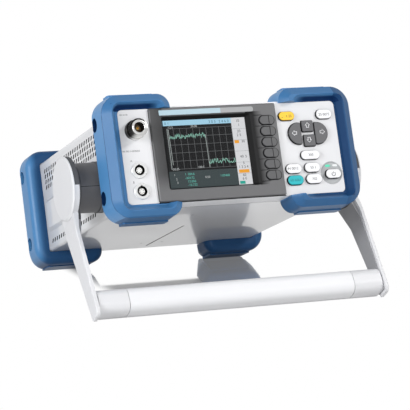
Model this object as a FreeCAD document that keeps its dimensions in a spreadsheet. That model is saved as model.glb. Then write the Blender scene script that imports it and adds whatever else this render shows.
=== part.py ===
import FreeCAD, Part
import math
import os

import Sketcher

# Half-rack radio-frequency power meter that leans back on its tilted carrying handle.
# The unit is drawn upright: X to the right, Y to the back, Z up, with the ridge of the front
# guards near Y = 0. Every piece is then leaned back by the tilt angle and set on the ground.
# All lengths are in millimetres, all angles in degrees.

V = FreeCAD.Vector
os.makedirs("parts", exist_ok=True)
doc = FreeCAD.newDocument("rf_power_meter")
sheet = doc.addObject("Spreadsheet::Sheet", "dimensions")

# Driving dimensions: name, value, meaning.
DIMENSIONS = [
    ("tilt_angle", 19.7, "lean of the unit"),
    ("centre_shift", -139.2, "moves the leaned unit so that its bounding box is centred in Y"),
    ("case_half", 103, "half width of the case"),
    ("case_low", 13, "underside of the case"),
    ("case_high", 97, "top of the case"),
    ("case_corner", 3, "edge radius of the case"),
    ("sleeve_front", 31.4, "front edge of the cabinet sleeve"),
    ("sleeve_back", 240, "back edge of the cabinet sleeve"),
    ("sheet_wall", 1.2, "sheet metal of sleeve and tray"),
    ("vent_first", 66.5, "first column of the side louvres"),
    ("vent_pitch", 6.5, "column pitch of the louvres"),
    ("vent_low", 71.5, "lowest of the four upper louvre rows"),
    ("vent_row", 5.1, "row pitch of the upper louvres"),
    ("vent_wide", 3, "length of one louvre slot"),
    ("vent_tall", 3.6, "height of one louvre slot"),
    ("vent_lean", 2.5, "forward lean of a slot from bottom to top"),
    ("low_vent_first", 86, "first column of the lower louvre row"),
    ("low_vent_level", 21, "height of the lower louvre row"),
    ("boss_front", 161, "front of the raised side field"),
    ("boss_back", 213, "back of the raised side field"),
    ("boss_low", 30, "bottom of the raised side field"),
    ("boss_high", 60, "top of the raised side field"),
    ("boss_proud", 2.5, "height of the raised side field"),
    ("boss_angle", 52, "bevel of the raised side field from its normal"),
    ("seam_x", -5, "lock seam under the sleeve"),
    ("seam_front", 127, "front end of the lock seam"),
    ("seam_back", 229, "back end of the lock seam"),
    ("seam_wide", 1.2, "width of the lock seam"),
    ("groove_deep", 0.5, "depth of the shallow grooves"),
    ("frame_front", 8, "front of the front frame"),
    ("frame_back", 31, "back of the front frame"),
    ("frame_rim", 2.8, "wall of the front frame round the panel"),
    ("ledge_front", 17.6, "ledge that the front board rests on"),
    ("ledge_rim", 4.8, "wall of the front frame behind the ledge"),
    ("lip_back", 37, "back of the lip that the sleeve slides over"),
    ("slide_gap", 0.2, "clearance of slipped-on pieces"),
    ("panel_half", 101.5, "half width of the front panel"),
    ("panel_low", 13.3, "bottom of the front panel"),
    ("panel_high", 95.1, "top of the front panel"),
    ("panel_front", 6, "face of the front panel"),
    ("panel_back", 8, "back of the front panel"),
    ("panel_corner", 4, "corner radius of the front panel"),
    ("bezel_left", -74, "left edge of the display bezel"),
    ("bezel_right", 44, "right edge of the display bezel"),
    ("bezel_low", 13.4, "bottom of the display bezel"),
    ("bezel_high", 95.2, "top of the display bezel"),
    ("bezel_front", 3.5, "face of the display bezel"),
    ("bezel_back", 10, "back of the display bezel"),
    ("bezel_lap", 2.6, "overlap of the bezel on the panel"),
    ("bezel_edge", 1.0, "bevel round the bezel"),
    ("bezel_corner", 1.5, "corner radius of the bezel"),
    ("recess_left", -63.8, "left edge of the screen recess"),
    ("recess_right", 21.6, "right edge of the screen recess"),
    ("recess_low", 23.6, "bottom edge of the screen recess"),
    ("recess_high", 88.4, "top edge of the screen recess"),
    ("recess_corner", 2, "corner radius of the screen recess"),
    ("view_left", -60.7, "left edge of the visible screen"),
    ("view_right", 16.2, "right edge of the visible screen"),
    ("view_low", 25.5, "bottom edge of the visible screen"),
    ("view_high", 85, "top edge of the visible screen"),
    ("view_corner", 0.6, "corner radius of the visible screen"),
    ("window_front", 8.1, "face of the display window"),
    ("window_back", 9.6, "back of the display window"),
    ("window_lap", 0.9, "overlap of the window behind the recess"),
    ("window_gap", 0.1, "clearance of the window in its seat"),
    ("glass_gap", 0.3, "clearance of the module's glass in the window's seat"),
    ("module_lap", 3.5, "overlap of the display module behind the bezel"),
    ("module_back", 16, "back of the display module"),
    ("softkey_left", 27, "left end of the softkeys"),
    ("softkey_right", 41, "right end of the softkeys"),
    ("softkey_tall", 7.8, "height of one softkey"),
    ("softkey_top", 80, "height of the uppermost softkey"),
    ("softkey_pitch", 9.74, "spacing of the softkeys"),
    ("softkey_front", 1.9, "face of the softkeys"),
    ("softkey_flat", 8.6, "length of a softkey's flat part"),
    ("softkey_fall", 1.1, "fall of a softkey's sloped part"),
    ("slope_room", 1, "how far the cut of a softkey's slope reaches past the key"),
    ("divider_left", 22.4, "left end of the dividers between the softkeys"),
    ("divider_right", 31, "right end of the dividers"),
    ("divider_wide", 0.5, "width of a divider groove"),
    ("key_front", 3.7, "face of the panel keys"),
    ("key_gap", 0.2, "gap round a key"),
    ("key_lap", 0.5, "flange of a key above and below its hole"),
    ("key_flange_front", 8.1, "front of a key's flange"),
    ("key_flange_back", 9.2, "back of a key's flange"),
    ("softkey_flange_front", 10.1, "front of a softkey's flange"),
    ("stem_back", 11.2, "back end of a key's stem"),
    ("stem_half", 2.1, "half width of a key's square stem"),
    ("key_edge", 0.45, "bevel round a key's face"),
    ("moon_corner", 1.5, "corner radius of the half-moon keys"),
    ("square_corner", 1.2, "corner radius of the square arrow keys"),
    ("dome_front", 12.6, "front of the mat's rubber springs"),
    ("dome_half", 3, "half width of the mat's rubber springs"),
    ("mat_front", 14.2, "front of the keypad mat"),
    ("mat_left", 22.6, "left edge of the keypad mat"),
    ("mat_right", 97, "right edge of the keypad mat"),
    ("mat_low", 19, "bottom edge of the keypad mat"),
    ("mat_high", 91, "top edge of the keypad mat"),
    ("board_front", 16, "front of the front board"),
    ("board_gap", 0.6, "clearance of the front board in the frame"),
    ("dish_x", 90.4, "centre of the power key dish"),
    ("dish_z", 30.7, "centre of the power key dish"),
    ("dish_radius", 10.2, "radius of the power key dish"),
    ("dish_floor", 6.6, "sunk floor of the power key dish"),
    ("dish_rim", 1.2, "width of the dish's rim slope"),
    ("dish_proud", 0.3, "height of the dish's rim over the panel"),
    ("dish_edge", 0.4, "width of the flat on the dish's rim"),
    ("dish_gap", 0.05, "clearance of the dish in the panel"),
    ("dish_back", 9.6, "back of the power key dish"),
    ("lens_front", 6.2, "face of the status lenses"),
    ("lens_back", 11, "back of the status lenses"),
    ("lens_left_x", 87.6, "centre of the lit lens"),
    ("lens_right_x", 94.6, "centre of the unlit lens"),
    ("lens_z", 37.2, "height of both lenses"),
    ("lens_wide", 4.6, "width of a lens"),
    ("lens_tall", 2.0, "height of a lens"),
    ("connector_x", -88.3, "column of the front connectors"),
    ("jack_z", 76.8, "height of the coaxial jack"),
    ("jack_front", -8, "face of the coaxial jack"),
    ("jack_radius", 7.95, "outer radius of the coaxial jack's threaded end"),
    ("jack_base_radius", 8.6, "radius of the coaxial jack's base"),
    ("jack_base_front", 1.2, "front of the coaxial jack's base"),
    ("jack_neck_radius", 6.9, "radius of the relief behind the jack's thread"),
    ("jack_neck_wide", 1.4, "width of the relief behind the jack's thread"),
    ("jack_edge", 0.5, "bevel at the front of the jack and the sockets"),
    ("jack_bore", 4.4, "bore radius of the coaxial jack"),
    ("jack_tail_radius", 6.2, "radius of the jack behind the panel"),
    ("jack_nut_radius", 9.8, "radius of the jack's nut"),
    ("jack_nut_back", 11, "back of the jack's nut"),
    ("jack_back", 24, "back end of the coaxial jack"),
    ("insulator_front", 1, "front of the jack's insulator"),
    ("pin_radius", 1.5, "radius of the jack's centre contact"),
    ("pin_bore", 0.85, "bore radius of the jack's centre contact"),
    ("pin_front", -3, "front of the jack's centre contact"),
    ("pin_floor", 3, "bottom of the bore in the jack's centre contact"),
    ("contact_tail", 3, "length of the contacts behind their insulators"),
    ("socket_a_z", 42.4, "height of sensor socket A"),
    ("socket_b_z", 24.3, "height of sensor socket B"),
    ("socket_radius", 7, "flange radius of a sensor socket"),
    ("socket_front", 4.3, "face of a sensor socket"),
    ("socket_bore", 4.45, "bore radius of a sensor socket"),
    ("socket_key", 5.5, "reach of the socket's keyway from its axis"),
    ("socket_tail_radius", 6, "radius of the socket behind the panel"),
    ("socket_nut_radius", 7.8, "radius of a sensor socket's nut"),
    ("socket_nut_back", 10.5, "back of a sensor socket's nut"),
    ("socket_back", 24, "back end of a sensor socket"),
    ("insert_radius", 3.1, "radius of the contact insert"),
    ("insert_front", 5.6, "face of the contact insert"),
    ("insert_floor", 14, "bottom of the ring gap round the insert"),
    ("contact_radius", 0.45, "corner radius of a six-sided socket contact"),
    ("contact_gap", 0.1, "clearance round a socket contact"),
    ("contact_front", 6.6, "front end of the socket contacts"),
    ("contact_circle", 1.9, "radius of the ring of contacts"),
    ("guard_side", 116, "outer face of the guards"),
    ("guard_low", 0.9, "lower face of the guards"),
    ("guard_high", 109.7, "upper face of the guards"),
    ("guard_corner", 17, "outer corner radius of the guards"),
    ("horn_corner", 11.5, "end radius of the guards' horns"),
    ("guard_front", -0.5, "ridge of the front guards"),
    ("slope_back", 5.5, "back of the front slope"),
    ("slope_wide", 7.2, "width of the front slope"),
    ("edge_low", 1.9, "lower face at the front slope"),
    ("edge_high", 108, "upper face at the front slope"),
    ("ridge_low", 7, "lower ridge"),
    ("ridge_high", 101.4, "upper ridge"),
    ("guard_full", 21, "where the guards reach their full height"),
    ("guard_back", 34, "back of the front guards"),
    ("guard_round", 4.5, "back edge radius of the front guards"),
    ("horn_left", 53.2, "end of the left horns from the middle"),
    ("horn_right", 49, "end of the right horns from the middle"),
    ("ring_half", 101.7, "half width of the guards' inner lip"),
    ("ring_low", 13.1, "lower inner lip"),
    ("ring_high", 95.3, "upper inner lip"),
    ("ring_corner", 4, "corner radius of the guards' inner lip"),
    ("wrap_half", 103.1, "half width of the guards' seat on the case"),
    ("wrap_low", 12.9, "lower seat on the case"),
    ("wrap_high", 97.1, "upper seat on the case"),
    ("scoop_end", 59.8, "inner end of the scoop behind the ridge"),
    ("scoop_half", 108.2, "half width of the scoop at the ridge"),
    ("scoop_low", 7.6, "lower edge of the scoop at the ridge"),
    ("scoop_high", 100.8, "upper edge of the scoop at the ridge"),
    ("scoop_corner", 8, "corner radius of the scoop"),
    ("scoop_angle", 32.9, "slope of the scoop from its axis"),
    ("foot_inner", 61.2, "inner end of the raised pads"),
    ("foot_outer", 102.7, "outer end of the raised pads"),
    ("foot_proud", 2.3, "height of the upper pads"),
    ("foot_low_proud", 0.9, "height of the lower pads"),
    ("foot_corner", 2, "corner radius of the raised pads"),
    ("foot_root", 3, "depth at which a pad is rooted in its guard"),
    ("foot_front", 21, "front of the front pads"),
    ("rear_foot_front", 232, "front of the rear pads"),
    ("rear_foot_back", 254, "back of the rear pads"),
    ("side_hole_radius", 6.15, "radius of the screw wells in the guards' sides"),
    ("side_hole_y", 25.5, "front screw wells"),
    ("rear_hole_y", 240, "rear screw wells"),
    ("side_hole_low", 23.5, "lower screw wells"),
    ("side_hole_high", 87.2, "upper screw wells"),
    ("side_hole_deep", 8, "depth of the screw wells"),
    ("screw_hole_deep", 14, "depth of the screw holes from the guards' outer face"),
    ("screw_shank", 2.1, "shank radius of the guard screws"),
    ("screw_reach", 4.8, "length of a guard screw's shank"),
    ("screw_head", 4.6, "head radius of the guard screws"),
    ("screw_head_tall", 3, "head height of the guard screws"),
    ("rear_front", 222, "front wall of the rear guards"),
    ("rear_side", 245, "start of the drawn-in sides of the rear guards"),
    ("rear_full", 252, "end of the rear guards' full height"),
    ("rear_draw", 3, "how far the sides are drawn in where the full height ends"),
    ("rear_end", 267, "back end of the rear guards"),
    ("rear_slope_wide", 9.5, "width of the rear slope"),
    ("rear_round", 7, "front edge radius of the rear guards"),
    ("rear_horn_left", 50, "end of the rear left horns"),
    ("rear_horn_right", 54, "end of the rear right horns"),
    ("hub_y", 66.9, "handle axis from the front"),
    ("hub_z", 41.7, "handle axis height"),
    ("hub_ring_radius", 22.5, "foot ring of the hub drums"),
    ("hub_ring_end", 108, "outer end of the foot ring"),
    ("drum_radius", 21.8, "radius of the hub drums"),
    ("drum_end", 127.5, "outer end of the hub drums"),
    ("pivot_radius", 5, "radius of the pivot pins"),
    ("pivot_gap", 0.05, "running clearance of the pivot pins"),
    ("pivot_start", 103.4, "inner end of the pivot pins"),
    ("pivot_edge", 0.6, "bevel at the inner end of the pivot pins"),
    ("liner_start", 127.8, "inner face of the handle's hub bosses"),
    ("liner_boss_radius", 21.8, "radius of the handle's hub bosses"),
    ("disc_start", 131, "inner face of the handle's hub discs"),
    ("disc_end", 135.3, "outer face of the handle's hub discs"),
    ("disc_radius", 27.8, "radius of the handle's hub discs"),
    ("root_drop", 10, "top of the pale part of the hub discs below the axis"),
    ("strip_drop", 6, "top of the liners' strips below the axis"),
    ("arm_start", 20, "top of the arms' straight part below the axis"),
    ("arm_reach", 32, "width that the arms are cut from"),
    ("liner_inner", 132.5, "inner face of the handle liners along the arms"),
    ("arm_inner", 133.5, "seam between handle liner and arm"),
    ("arm_outer", 136.9, "outer face of the arms"),
    ("bend_start", 28.6, "start of the arm's outward bend below the axis"),
    ("bend_end", 41.5, "end of the arm's outward bend below the axis"),
    ("liner_bend_end", 50, "end of the liner's thick part below the axis"),
    ("arm_front_top", -6.3, "front edge of the arms level with the axis"),
    ("arm_front_tip", -14, "front edge of the arms at the tip"),
    ("arm_rear_top", 27, "rear edge of the arms level with the axis"),
    ("arm_rear_tip", 1.6, "rear edge of the arms at the tip"),
    ("arm_length", 126.4, "tip of the arms from the axis"),
    ("arm_corner", 6, "front corner radius of the arm tips"),
    ("arm_heel", 2, "rear corner radius of the arm tips"),
    ("liner_inset", 3, "how far the liners stay inside the arms' front edge and tip"),
    ("liner_corner", 1.8, "corner radius of the liner tips"),
    ("arm_edge", 1.2, "edge radius of the arms"),
    ("bar_reach", 112.0, "middle of the cross bar from the axis"),
    ("bar_wide", 24, "cross bar across the arm"),
    ("bar_tall", 21.6, "cross bar along the arm"),
    ("bar_corner", 8, "corner radius of the cross bar"),
    ("grip_half", 105, "half length of the middle grip"),
    ("grip_seam", 0.5, "seam between grip and end pieces"),
    ("cap_radius", 28.2, "radius of the hub caps"),
    ("cap_rim", 135.9, "rim of the hub caps"),
    ("cap_face", 137, "face of the hub caps"),
    ("cap_round", 1.6, "width of the bevel round the hub caps"),
    ("tray_low", 15, "underside of the chassis tray"),
    ("tray_half", 100, "half width of the chassis tray"),
    ("tray_front", 37.5, "front of the chassis tray"),
    ("tray_back", 238.6, "back of the chassis tray"),
    ("tray_wall", 40, "top of the tray's side walls"),
    ("rail_inner", 94.5, "inner face of the side rails"),
    ("rail_outer", 101.4, "outer face of the side rails"),
    ("rail_low", 46, "underside of the side rails"),
    ("rail_high", 58, "top of the side rails"),
    ("rear_panel_front", 239, "front of the rear panel"),
    ("rear_panel_back", 241, "back of the rear panel"),
    ("grille_pitch", 5, "spacing of the grille slots"),
    ("grille_half", 1.4, "half height of a grille slot"),
    ("grille_reach", 17, "half length of a grille slot"),
    ("main_board_low", 27, "underside of the main board"),
    ("board_thick", 1.6, "thickness of the main board"),
    ("board_side", 8, "distance of the main board from the tray's side"),
    ("board_front_gap", 10, "distance of the main board from the tray's front"),
    ("board_apart", 4, "distance of the main board from supply and data sockets"),
    ("post_inset", 6, "distance of the board's posts from its edges"),
    ("post_half", 3, "half width of the board's posts"),
    ("can_inset", 10, "distance of the screening cans from the board's sides"),
    ("can_split", 62, "right side of the left can from the board's left side"),
    ("can_front", 16, "front of the cans from the board's front"),
    ("can_back", 90, "back of the cans from the board's front"),
    ("can_tall", 9, "height of the screening cans"),
    ("supply_left", 46, "left side of the power supply"),
    ("supply_right", 92, "right side of the power supply"),
    ("supply_front", 110, "front of the power supply"),
    ("supply_back", 212, "back of the power supply"),
    ("supply_high", 64, "top of the power supply"),
    ("fan_x", 14, "centre of the fan"),
    ("fan_z", 56, "centre of the fan"),
    ("fan_half", 20, "half width of the fan"),
    ("fan_corner", 3, "corner radius of the fan"),
    ("fan_deep", 10.5, "depth of the fan"),
    ("fan_bore", 19, "bore radius of the fan"),
    ("strut_half", 1.2, "half width of the fan's struts"),
    ("strut_deep", 1.4, "depth of the fan's struts"),
    ("strut_root", 0.5, "how far the struts reach into the fan's frame"),
    ("motor_radius", 9.5, "radius of the fan's motor seat"),
    ("motor_deep", 1.8, "depth of the fan's motor seat"),
    ("rotor_hub", 10.5, "hub radius of the rotor"),
    ("rotor_start", 2.2, "front of the rotor's hub from the front of the fan"),
    ("rotor_end", 9.3, "back of the rotor's hub"),
    ("rotor_floor", 8.7, "bottom of the rotor's bore"),
    ("blade_tip", 18.3, "tip radius of the rotor blades"),
    ("blade_start", 2.6, "front edge of a rotor blade"),
    ("blade_end", 7.9, "back edge of a rotor blade"),
    ("blade_thick", 1.3, "thickness of a rotor blade along the fan's axis"),
    ("blade_rise", 3.4, "half height of a rotor blade's slant"),
    ("blade_root", 0.8, "how far a blade reaches into the hub"),
    ("fan_pin", 1.5, "radius of the fan's shaft"),
    ("fan_pin_gap", 0.05, "running clearance of the fan's shaft"),
    ("fan_pin_end", 8.5, "end of the fan's shaft"),
    ("inlet_x", 72, "centre of the mains inlet"),
    ("inlet_z", 46, "centre of the mains inlet's socket"),
    ("hole_gap", 0.2, "clearance of the connectors in the rear panel"),
    ("inlet_wide", 24.4, "width of the mains socket"),
    ("inlet_tall", 17, "height of the mains socket"),
    ("inlet_deep", 15.5, "depth of the mains socket"),
    ("inlet_rim", 3, "rim round the mains socket"),
    ("inlet_wall", 1.5, "wall of the mains inlet round socket and drawer"),
    ("inlet_back", 216, "inner end of the mains inlet"),
    ("inlet_edge", 2, "corner radius of the mains inlet's flange"),
    ("inlet_corner", 2.5, "corner radius of the mains socket"),
    ("contact_side", 7, "outer inlet blades from the middle"),
    ("contact_drop", 2, "outer inlet blades below the middle"),
    ("contact_rise", 3, "middle inlet blade above the middle"),
    ("contact_half_wide", 1, "half width of an inlet blade"),
    ("contact_half_tall", 2, "half height of an inlet blade"),
    ("contact_short", 3, "how far the inlet blades stay behind the inlet's face"),
    ("drawer_z", 64, "centre of the fuse drawer"),
    ("drawer_wide", 22, "width of the fuse drawer"),
    ("drawer_tall", 9, "height of the fuse drawer"),
    ("drawer_deep", 22, "depth of the fuse drawer"),
    ("drawer_gap", 0.3, "clearance of the fuse drawer"),
    ("drawer_room", 1, "room behind the fuse drawer"),
    ("drawer_lip", 1.5, "finger lip of the fuse drawer"),
    ("trough_long", 18, "length of the fuse troughs"),
    ("trough_wall", 2, "wall round the fuse troughs"),
    ("trough_split", 1, "half the wall between the fuse troughs"),
    ("inlet_face", 243.6, "face of the mains inlet"),
    ("bnc_x", -28, "first rear coaxial jack"),
    ("bnc_pitch", 20, "spacing of the rear coaxial jacks"),
    ("bnc_z", 78, "height of the rear coaxial jacks"),
    ("bnc_radius", 4.85, "barrel radius of the rear coaxial jacks"),
    ("bnc_tail_radius", 4.5, "radius of a rear coaxial jack in the panel"),
    ("bnc_front", 229, "inner end of the rear coaxial jacks"),
    ("bnc_flange_radius", 7.25, "flange radius of the rear coaxial jacks"),
    ("bnc_flange_back", 243, "back of the jacks' flange"),
    ("bnc_bore", 4.05, "bore radius of the rear coaxial jacks"),
    ("bnc_floor", 245, "bottom of the jacks' bore"),
    ("bnc_pin_radius", 0.7, "radius of the jacks' centre contact"),
    ("bnc_pin_end", 251, "end of the jacks' centre contact"),
    ("bnc_end", 254, "end of the rear coaxial jacks"),
    ("data_z", 36, "height of the data sockets"),
    ("network_x", -52, "centre of the network socket"),
    ("network_wide", 8, "half width of the network socket"),
    ("network_tall", 7, "half height of the network socket"),
    ("network_mouth_wide", 5.9, "half width of the network socket's mouth"),
    ("network_mouth_tall", 4.2, "half height of the network socket's mouth"),
    ("network_mouth_drop", 0.8, "how far that mouth sits below the middle"),
    ("serial_x", -78, "centre of the serial data socket"),
    ("serial_wide", 6.1, "half width of the serial data socket"),
    ("serial_tall", 5.6, "half height of the serial data socket"),
    ("serial_mouth_wide", 4.3, "half width of the serial socket's mouth"),
    ("serial_mouth_tall", 4, "half height of the serial socket's mouth"),
    ("serial_mouth_drop", 0, "how far that mouth sits below the middle"),
    ("data_end", 242.6, "face of the data sockets"),
    ("data_front", 224, "inner end of the data sockets"),
    ("data_mouth_deep", 12, "depth of the data sockets' mouths"),
    ("case_screw_x", 95, "rear panel screws from the middle"),
    ("case_screw_low", 22, "lower rear panel screws"),
    ("case_screw_high", 88, "upper rear panel screws"),
    ("case_screw_radius", 3.2, "head radius of the rear panel screws"),
    ("case_screw_tall", 2, "head height of the rear panel screws"),
]

# Panel keys: name, centre X, centre Z, width, height, form.
KEYS = [
    ("key_yellow", 54.0, 83.0, 14.8, 7.8, "pill"),
    ("key_top_right", 90.0, 83.2, 15.0, 8.4, "pill"),
    ("key_left", 59.8, 67.0, 12.0, 19.0, "moon_left"),
    ("key_up", 72.6, 73.2, 11.0, 10.0, "square"),
    ("key_right", 85.2, 66.6, 12.2, 19.0, "moon_right"),
    ("key_down", 73.1, 60.3, 10.8, 10.4, "square"),
    ("key_enter", 71.6, 47.4, 18.0, 8.0, "pill"),
    ("key_lower_left", 54.2, 36.0, 14.8, 8.4, "pill"),
    ("key_lower_right", 72.0, 36.2, 14.8, 8.4, "pill"),
    ("key_teal", 54.5, 25.8, 15.0, 8.4, "pill"),
    ("key_bottom_right", 72.3, 26.1, 15.0, 8.4, "pill"),
    ("key_power", 91.4, 29.6, 14.6, 8.0, "pill"),
]

VENT_COLUMNS = 23
VENT_ROWS = 4
LOW_VENT_COLUMNS = 20
SOFTKEYS = 6
SOCKET_CONTACTS = 6
FAN_BLADES = 7
GRILLE_SLOTS = 7

values = {}


def fill_sheet():
    """Write every driving dimension to the sheet, one row each."""
    rows = list(DIMENSIONS)
    for name, x, z, wide, tall, form in KEYS:
        rows.append((name + "_x", x, "centre of " + name))
        rows.append((name + "_z", z, "centre of " + name))
        rows.append((name + "_wide", wide, "width of " + name))
        rows.append((name + "_tall", tall, "height of " + name))
    for number, (alias, value, meaning) in enumerate(rows, start=1):
        sheet.set(f"A{number}", meaning)
        sheet.set(f"B{number}", str(value))
        sheet.setAlias(f"B{number}", alias)
        values[alias] = float(value)


class Size:
    """A length that knows its number and the sheet expression that gives it."""

    def __init__(self, number, text):
        self.number = number
        self.text = text

    def __add__(self, other):
        other = as_size(other)
        return Size(self.number + other.number, f"({self.text} + {other.text})")

    def __radd__(self, other):
        return as_size(other) + self

    def __sub__(self, other):
        other = as_size(other)
        return Size(self.number - other.number, f"({self.text} - {other.text})")

    def __rsub__(self, other):
        return as_size(other) - self

    def __mul__(self, other):
        other = as_size(other)
        return Size(self.number * other.number, f"({self.text} * {other.text})")

    def __rmul__(self, other):
        return as_size(other) * self

    def __truediv__(self, other):
        other = as_size(other)
        return Size(self.number / other.number, f"({self.text} / {other.text})")

    def __neg__(self):
        return Size(-self.number, f"(-1 * {self.text})")


def as_size(value):
    """Let a plain number stand where a sheet size may stand."""
    if isinstance(value, Size):
        return value
    return Size(float(value), f"({value})")


class Dimensions:
    """Gives each sheet cell by its alias, as in d.case_half."""

    def __getattr__(self, alias):
        return Size(values[alias], "dimensions." + alias)


fill_sheet()
d = Dimensions()
doc.recompute()

# The leaned unit stands on the back edge of its rear pads and on the cross bar of the handle.
TILT = math.radians(values["tilt_angle"])
GROUND = values["rear_foot_back"] * math.sin(TILT)
UNIT = FreeCAD.Placement(
    V(0, values["centre_shift"], GROUND),
    FreeCAD.Rotation(V(1, 0, 0), -values["tilt_angle"]),
)


def stand_angle():
    """Angle of the arms from the vertical at which the cross bar's lowest line meets the ground."""
    hub_height = values["hub_z"] * math.cos(TILT) - values["hub_y"] * math.sin(TILT) + GROUND
    core_half = values["bar_wide"] / 2 - values["bar_corner"]
    core_reach = values["bar_reach"] + values["bar_tall"] / 2 - values["bar_corner"]
    radius = math.hypot(core_half, core_reach)
    swing = math.acos((hub_height - values["bar_corner"]) / radius)
    return math.degrees(swing + math.atan2(core_half, core_reach))


HANDLE_ANGLE = stand_angle()
HUB = UNIT.multVec(V(0, values["hub_y"], values["hub_z"]))
HANDLE = FreeCAD.Placement(HUB, FreeCAD.Rotation(V(1, 0, 0), -HANDLE_ANGLE))

subparts = []


def new_body(label, at=None, frame=UNIT):
    """Start a sub-part. Its own origin lies at the given point of the frame that it is placed in."""
    body = doc.addObject("PartDesign::Body", label)
    body.Label = label
    place = FreeCAD.Placement(V(*at) if at else V(), FreeCAD.Rotation())
    body.Placement = frame.multiply(place)
    return body


def finished(part):
    """Count a part among those that are written out."""
    subparts.append(part)
    return part


def origin_feature(body, role):
    """Find one of the body's own planes or axes."""
    return [feature for feature in body.Origin.OriginFeatures if feature.Role == role][0]


def new_sketch(body, plane, level):
    """Open a sketch on an origin plane, moved along that plane's axis to the level."""
    sketch = body.newObject("Sketcher::SketchObject", body.Name + "_sketch")
    sketch.AttachmentSupport = [(origin_feature(body, plane + "_Plane"), "")]
    sketch.MapMode = "FlatFace"
    level = as_size(level)
    offset = -level if plane == "XZ" else level
    sketch.setExpression(".AttachmentOffset.Base.z", offset.text)
    return sketch


def pin_point(sketch, geometry, point, x, y):
    """Fix a sketch point by its two coordinates."""
    for kind, size in (("DistanceX", as_size(x)), ("DistanceY", as_size(y))):
        number = sketch.addConstraint(Sketcher.Constraint(kind, geometry, point, size.number))
        sketch.setExpression(f"Constraints[{number}]", size.text)


def fix_radius(sketch, geometry, radius):
    """Bind the radius of a circle or an arc."""
    radius = as_size(radius)
    number = sketch.addConstraint(Sketcher.Constraint("Radius", geometry, radius.number))
    sketch.setExpression(f"Constraints[{number}]", radius.text)


def outline(sketch, points):
    """Draw a closed outline of straight edges through the points."""
    points = [(as_size(x), as_size(y)) for x, y in points]
    first = sketch.GeometryCount
    count = len(points)
    for index in range(count):
        start = points[index]
        end = points[(index + 1) % count]
        line = Part.LineSegment(
            V(start[0].number, start[1].number, 0), V(end[0].number, end[1].number, 0)
        )
        sketch.addGeometry(line, False)
    for index in range(count):
        following = first + (index + 1) % count
        sketch.addConstraint(Sketcher.Constraint("Coincident", first + index, 2, following, 1))
    for index, (x, y) in enumerate(points):
        pin_point(sketch, first + index, 1, x, y)


def rectangle(sketch, left, right, low, high):
    """Draw an upright rectangle."""
    outline(sketch, [(left, low), (right, low), (right, high), (left, high)])


def circle(sketch, x, y, radius):
    """Draw a circle."""
    x, y, radius = as_size(x), as_size(y), as_size(radius)
    ring = Part.Circle(V(x.number, y.number, 0), V(0, 0, 1), radius.number)
    number = sketch.addGeometry(ring, False)
    pin_point(sketch, number, 3, x, y)
    fix_radius(sketch, number, radius)


def hexagon(sketch, x, y, radius):
    """Draw a hexagon by its middle and corner radius."""
    corners = []
    for index in range(6):
        angle = math.pi * index / 3
        corners.append((
            x + radius * round(math.cos(angle), 6),
            y + radius * round(math.sin(angle), 6),
        ))
    outline(sketch, corners)


def corner_arc(centre_x, centre_y, radius, start_turn):
    """Quarter circle that starts after the given number of quarter turns."""
    ring = Part.Circle(V(centre_x, centre_y, 0), V(0, 0, 1), radius)
    return Part.ArcOfCircle(ring, start_turn * math.pi / 2, (start_turn + 1) * math.pi / 2)


def rounded(sketch, left, right, low, high, left_radius, right_radius=None):
    """Draw a rectangle with rounded corners, whose left and right pairs may differ."""
    left, right, low, high = as_size(left), as_size(right), as_size(low), as_size(high)
    left_radius = as_size(left_radius)
    right_radius = left_radius if right_radius is None else as_size(right_radius)
    x0, x1, y0, y1 = left.number, right.number, low.number, high.number
    a, b = left_radius.number, right_radius.number
    first = sketch.GeometryCount
    shapes = [
        Part.LineSegment(V(x0 + a, y0, 0), V(x1 - b, y0, 0)),
        corner_arc(x1 - b, y0 + b, b, 3),
        Part.LineSegment(V(x1, y0 + b, 0), V(x1, y1 - b, 0)),
        corner_arc(x1 - b, y1 - b, b, 0),
        Part.LineSegment(V(x1 - b, y1, 0), V(x0 + a, y1, 0)),
        corner_arc(x0 + a, y1 - a, a, 1),
        Part.LineSegment(V(x0, y1 - a, 0), V(x0, y0 + a, 0)),
        corner_arc(x0 + a, y0 + a, a, 2),
    ]
    for shape in shapes:
        sketch.addGeometry(shape, False)
    for index in range(8):
        following = first + (index + 1) % 8
        sketch.addConstraint(Sketcher.Constraint("Tangent", first + index, 2, following, 1))
    for index, kind in ((0, "Horizontal"), (2, "Vertical"), (4, "Horizontal"), (6, "Vertical")):
        sketch.addConstraint(Sketcher.Constraint(kind, first + index))
    for index, radius in ((1, right_radius), (3, right_radius), (5, left_radius), (7, left_radius)):
        fix_radius(sketch, first + index, radius)
    sides = (("DistanceY", 0, low), ("DistanceX", 2, right), ("DistanceY", 4, high), ("DistanceX", 6, left))
    for kind, index, size in sides:
        constraint = Sketcher.Constraint(kind, first + index, 1, size.number)
        number = sketch.addConstraint(constraint)
        sketch.setExpression(f"Constraints[{number}]", size.text)


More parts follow.
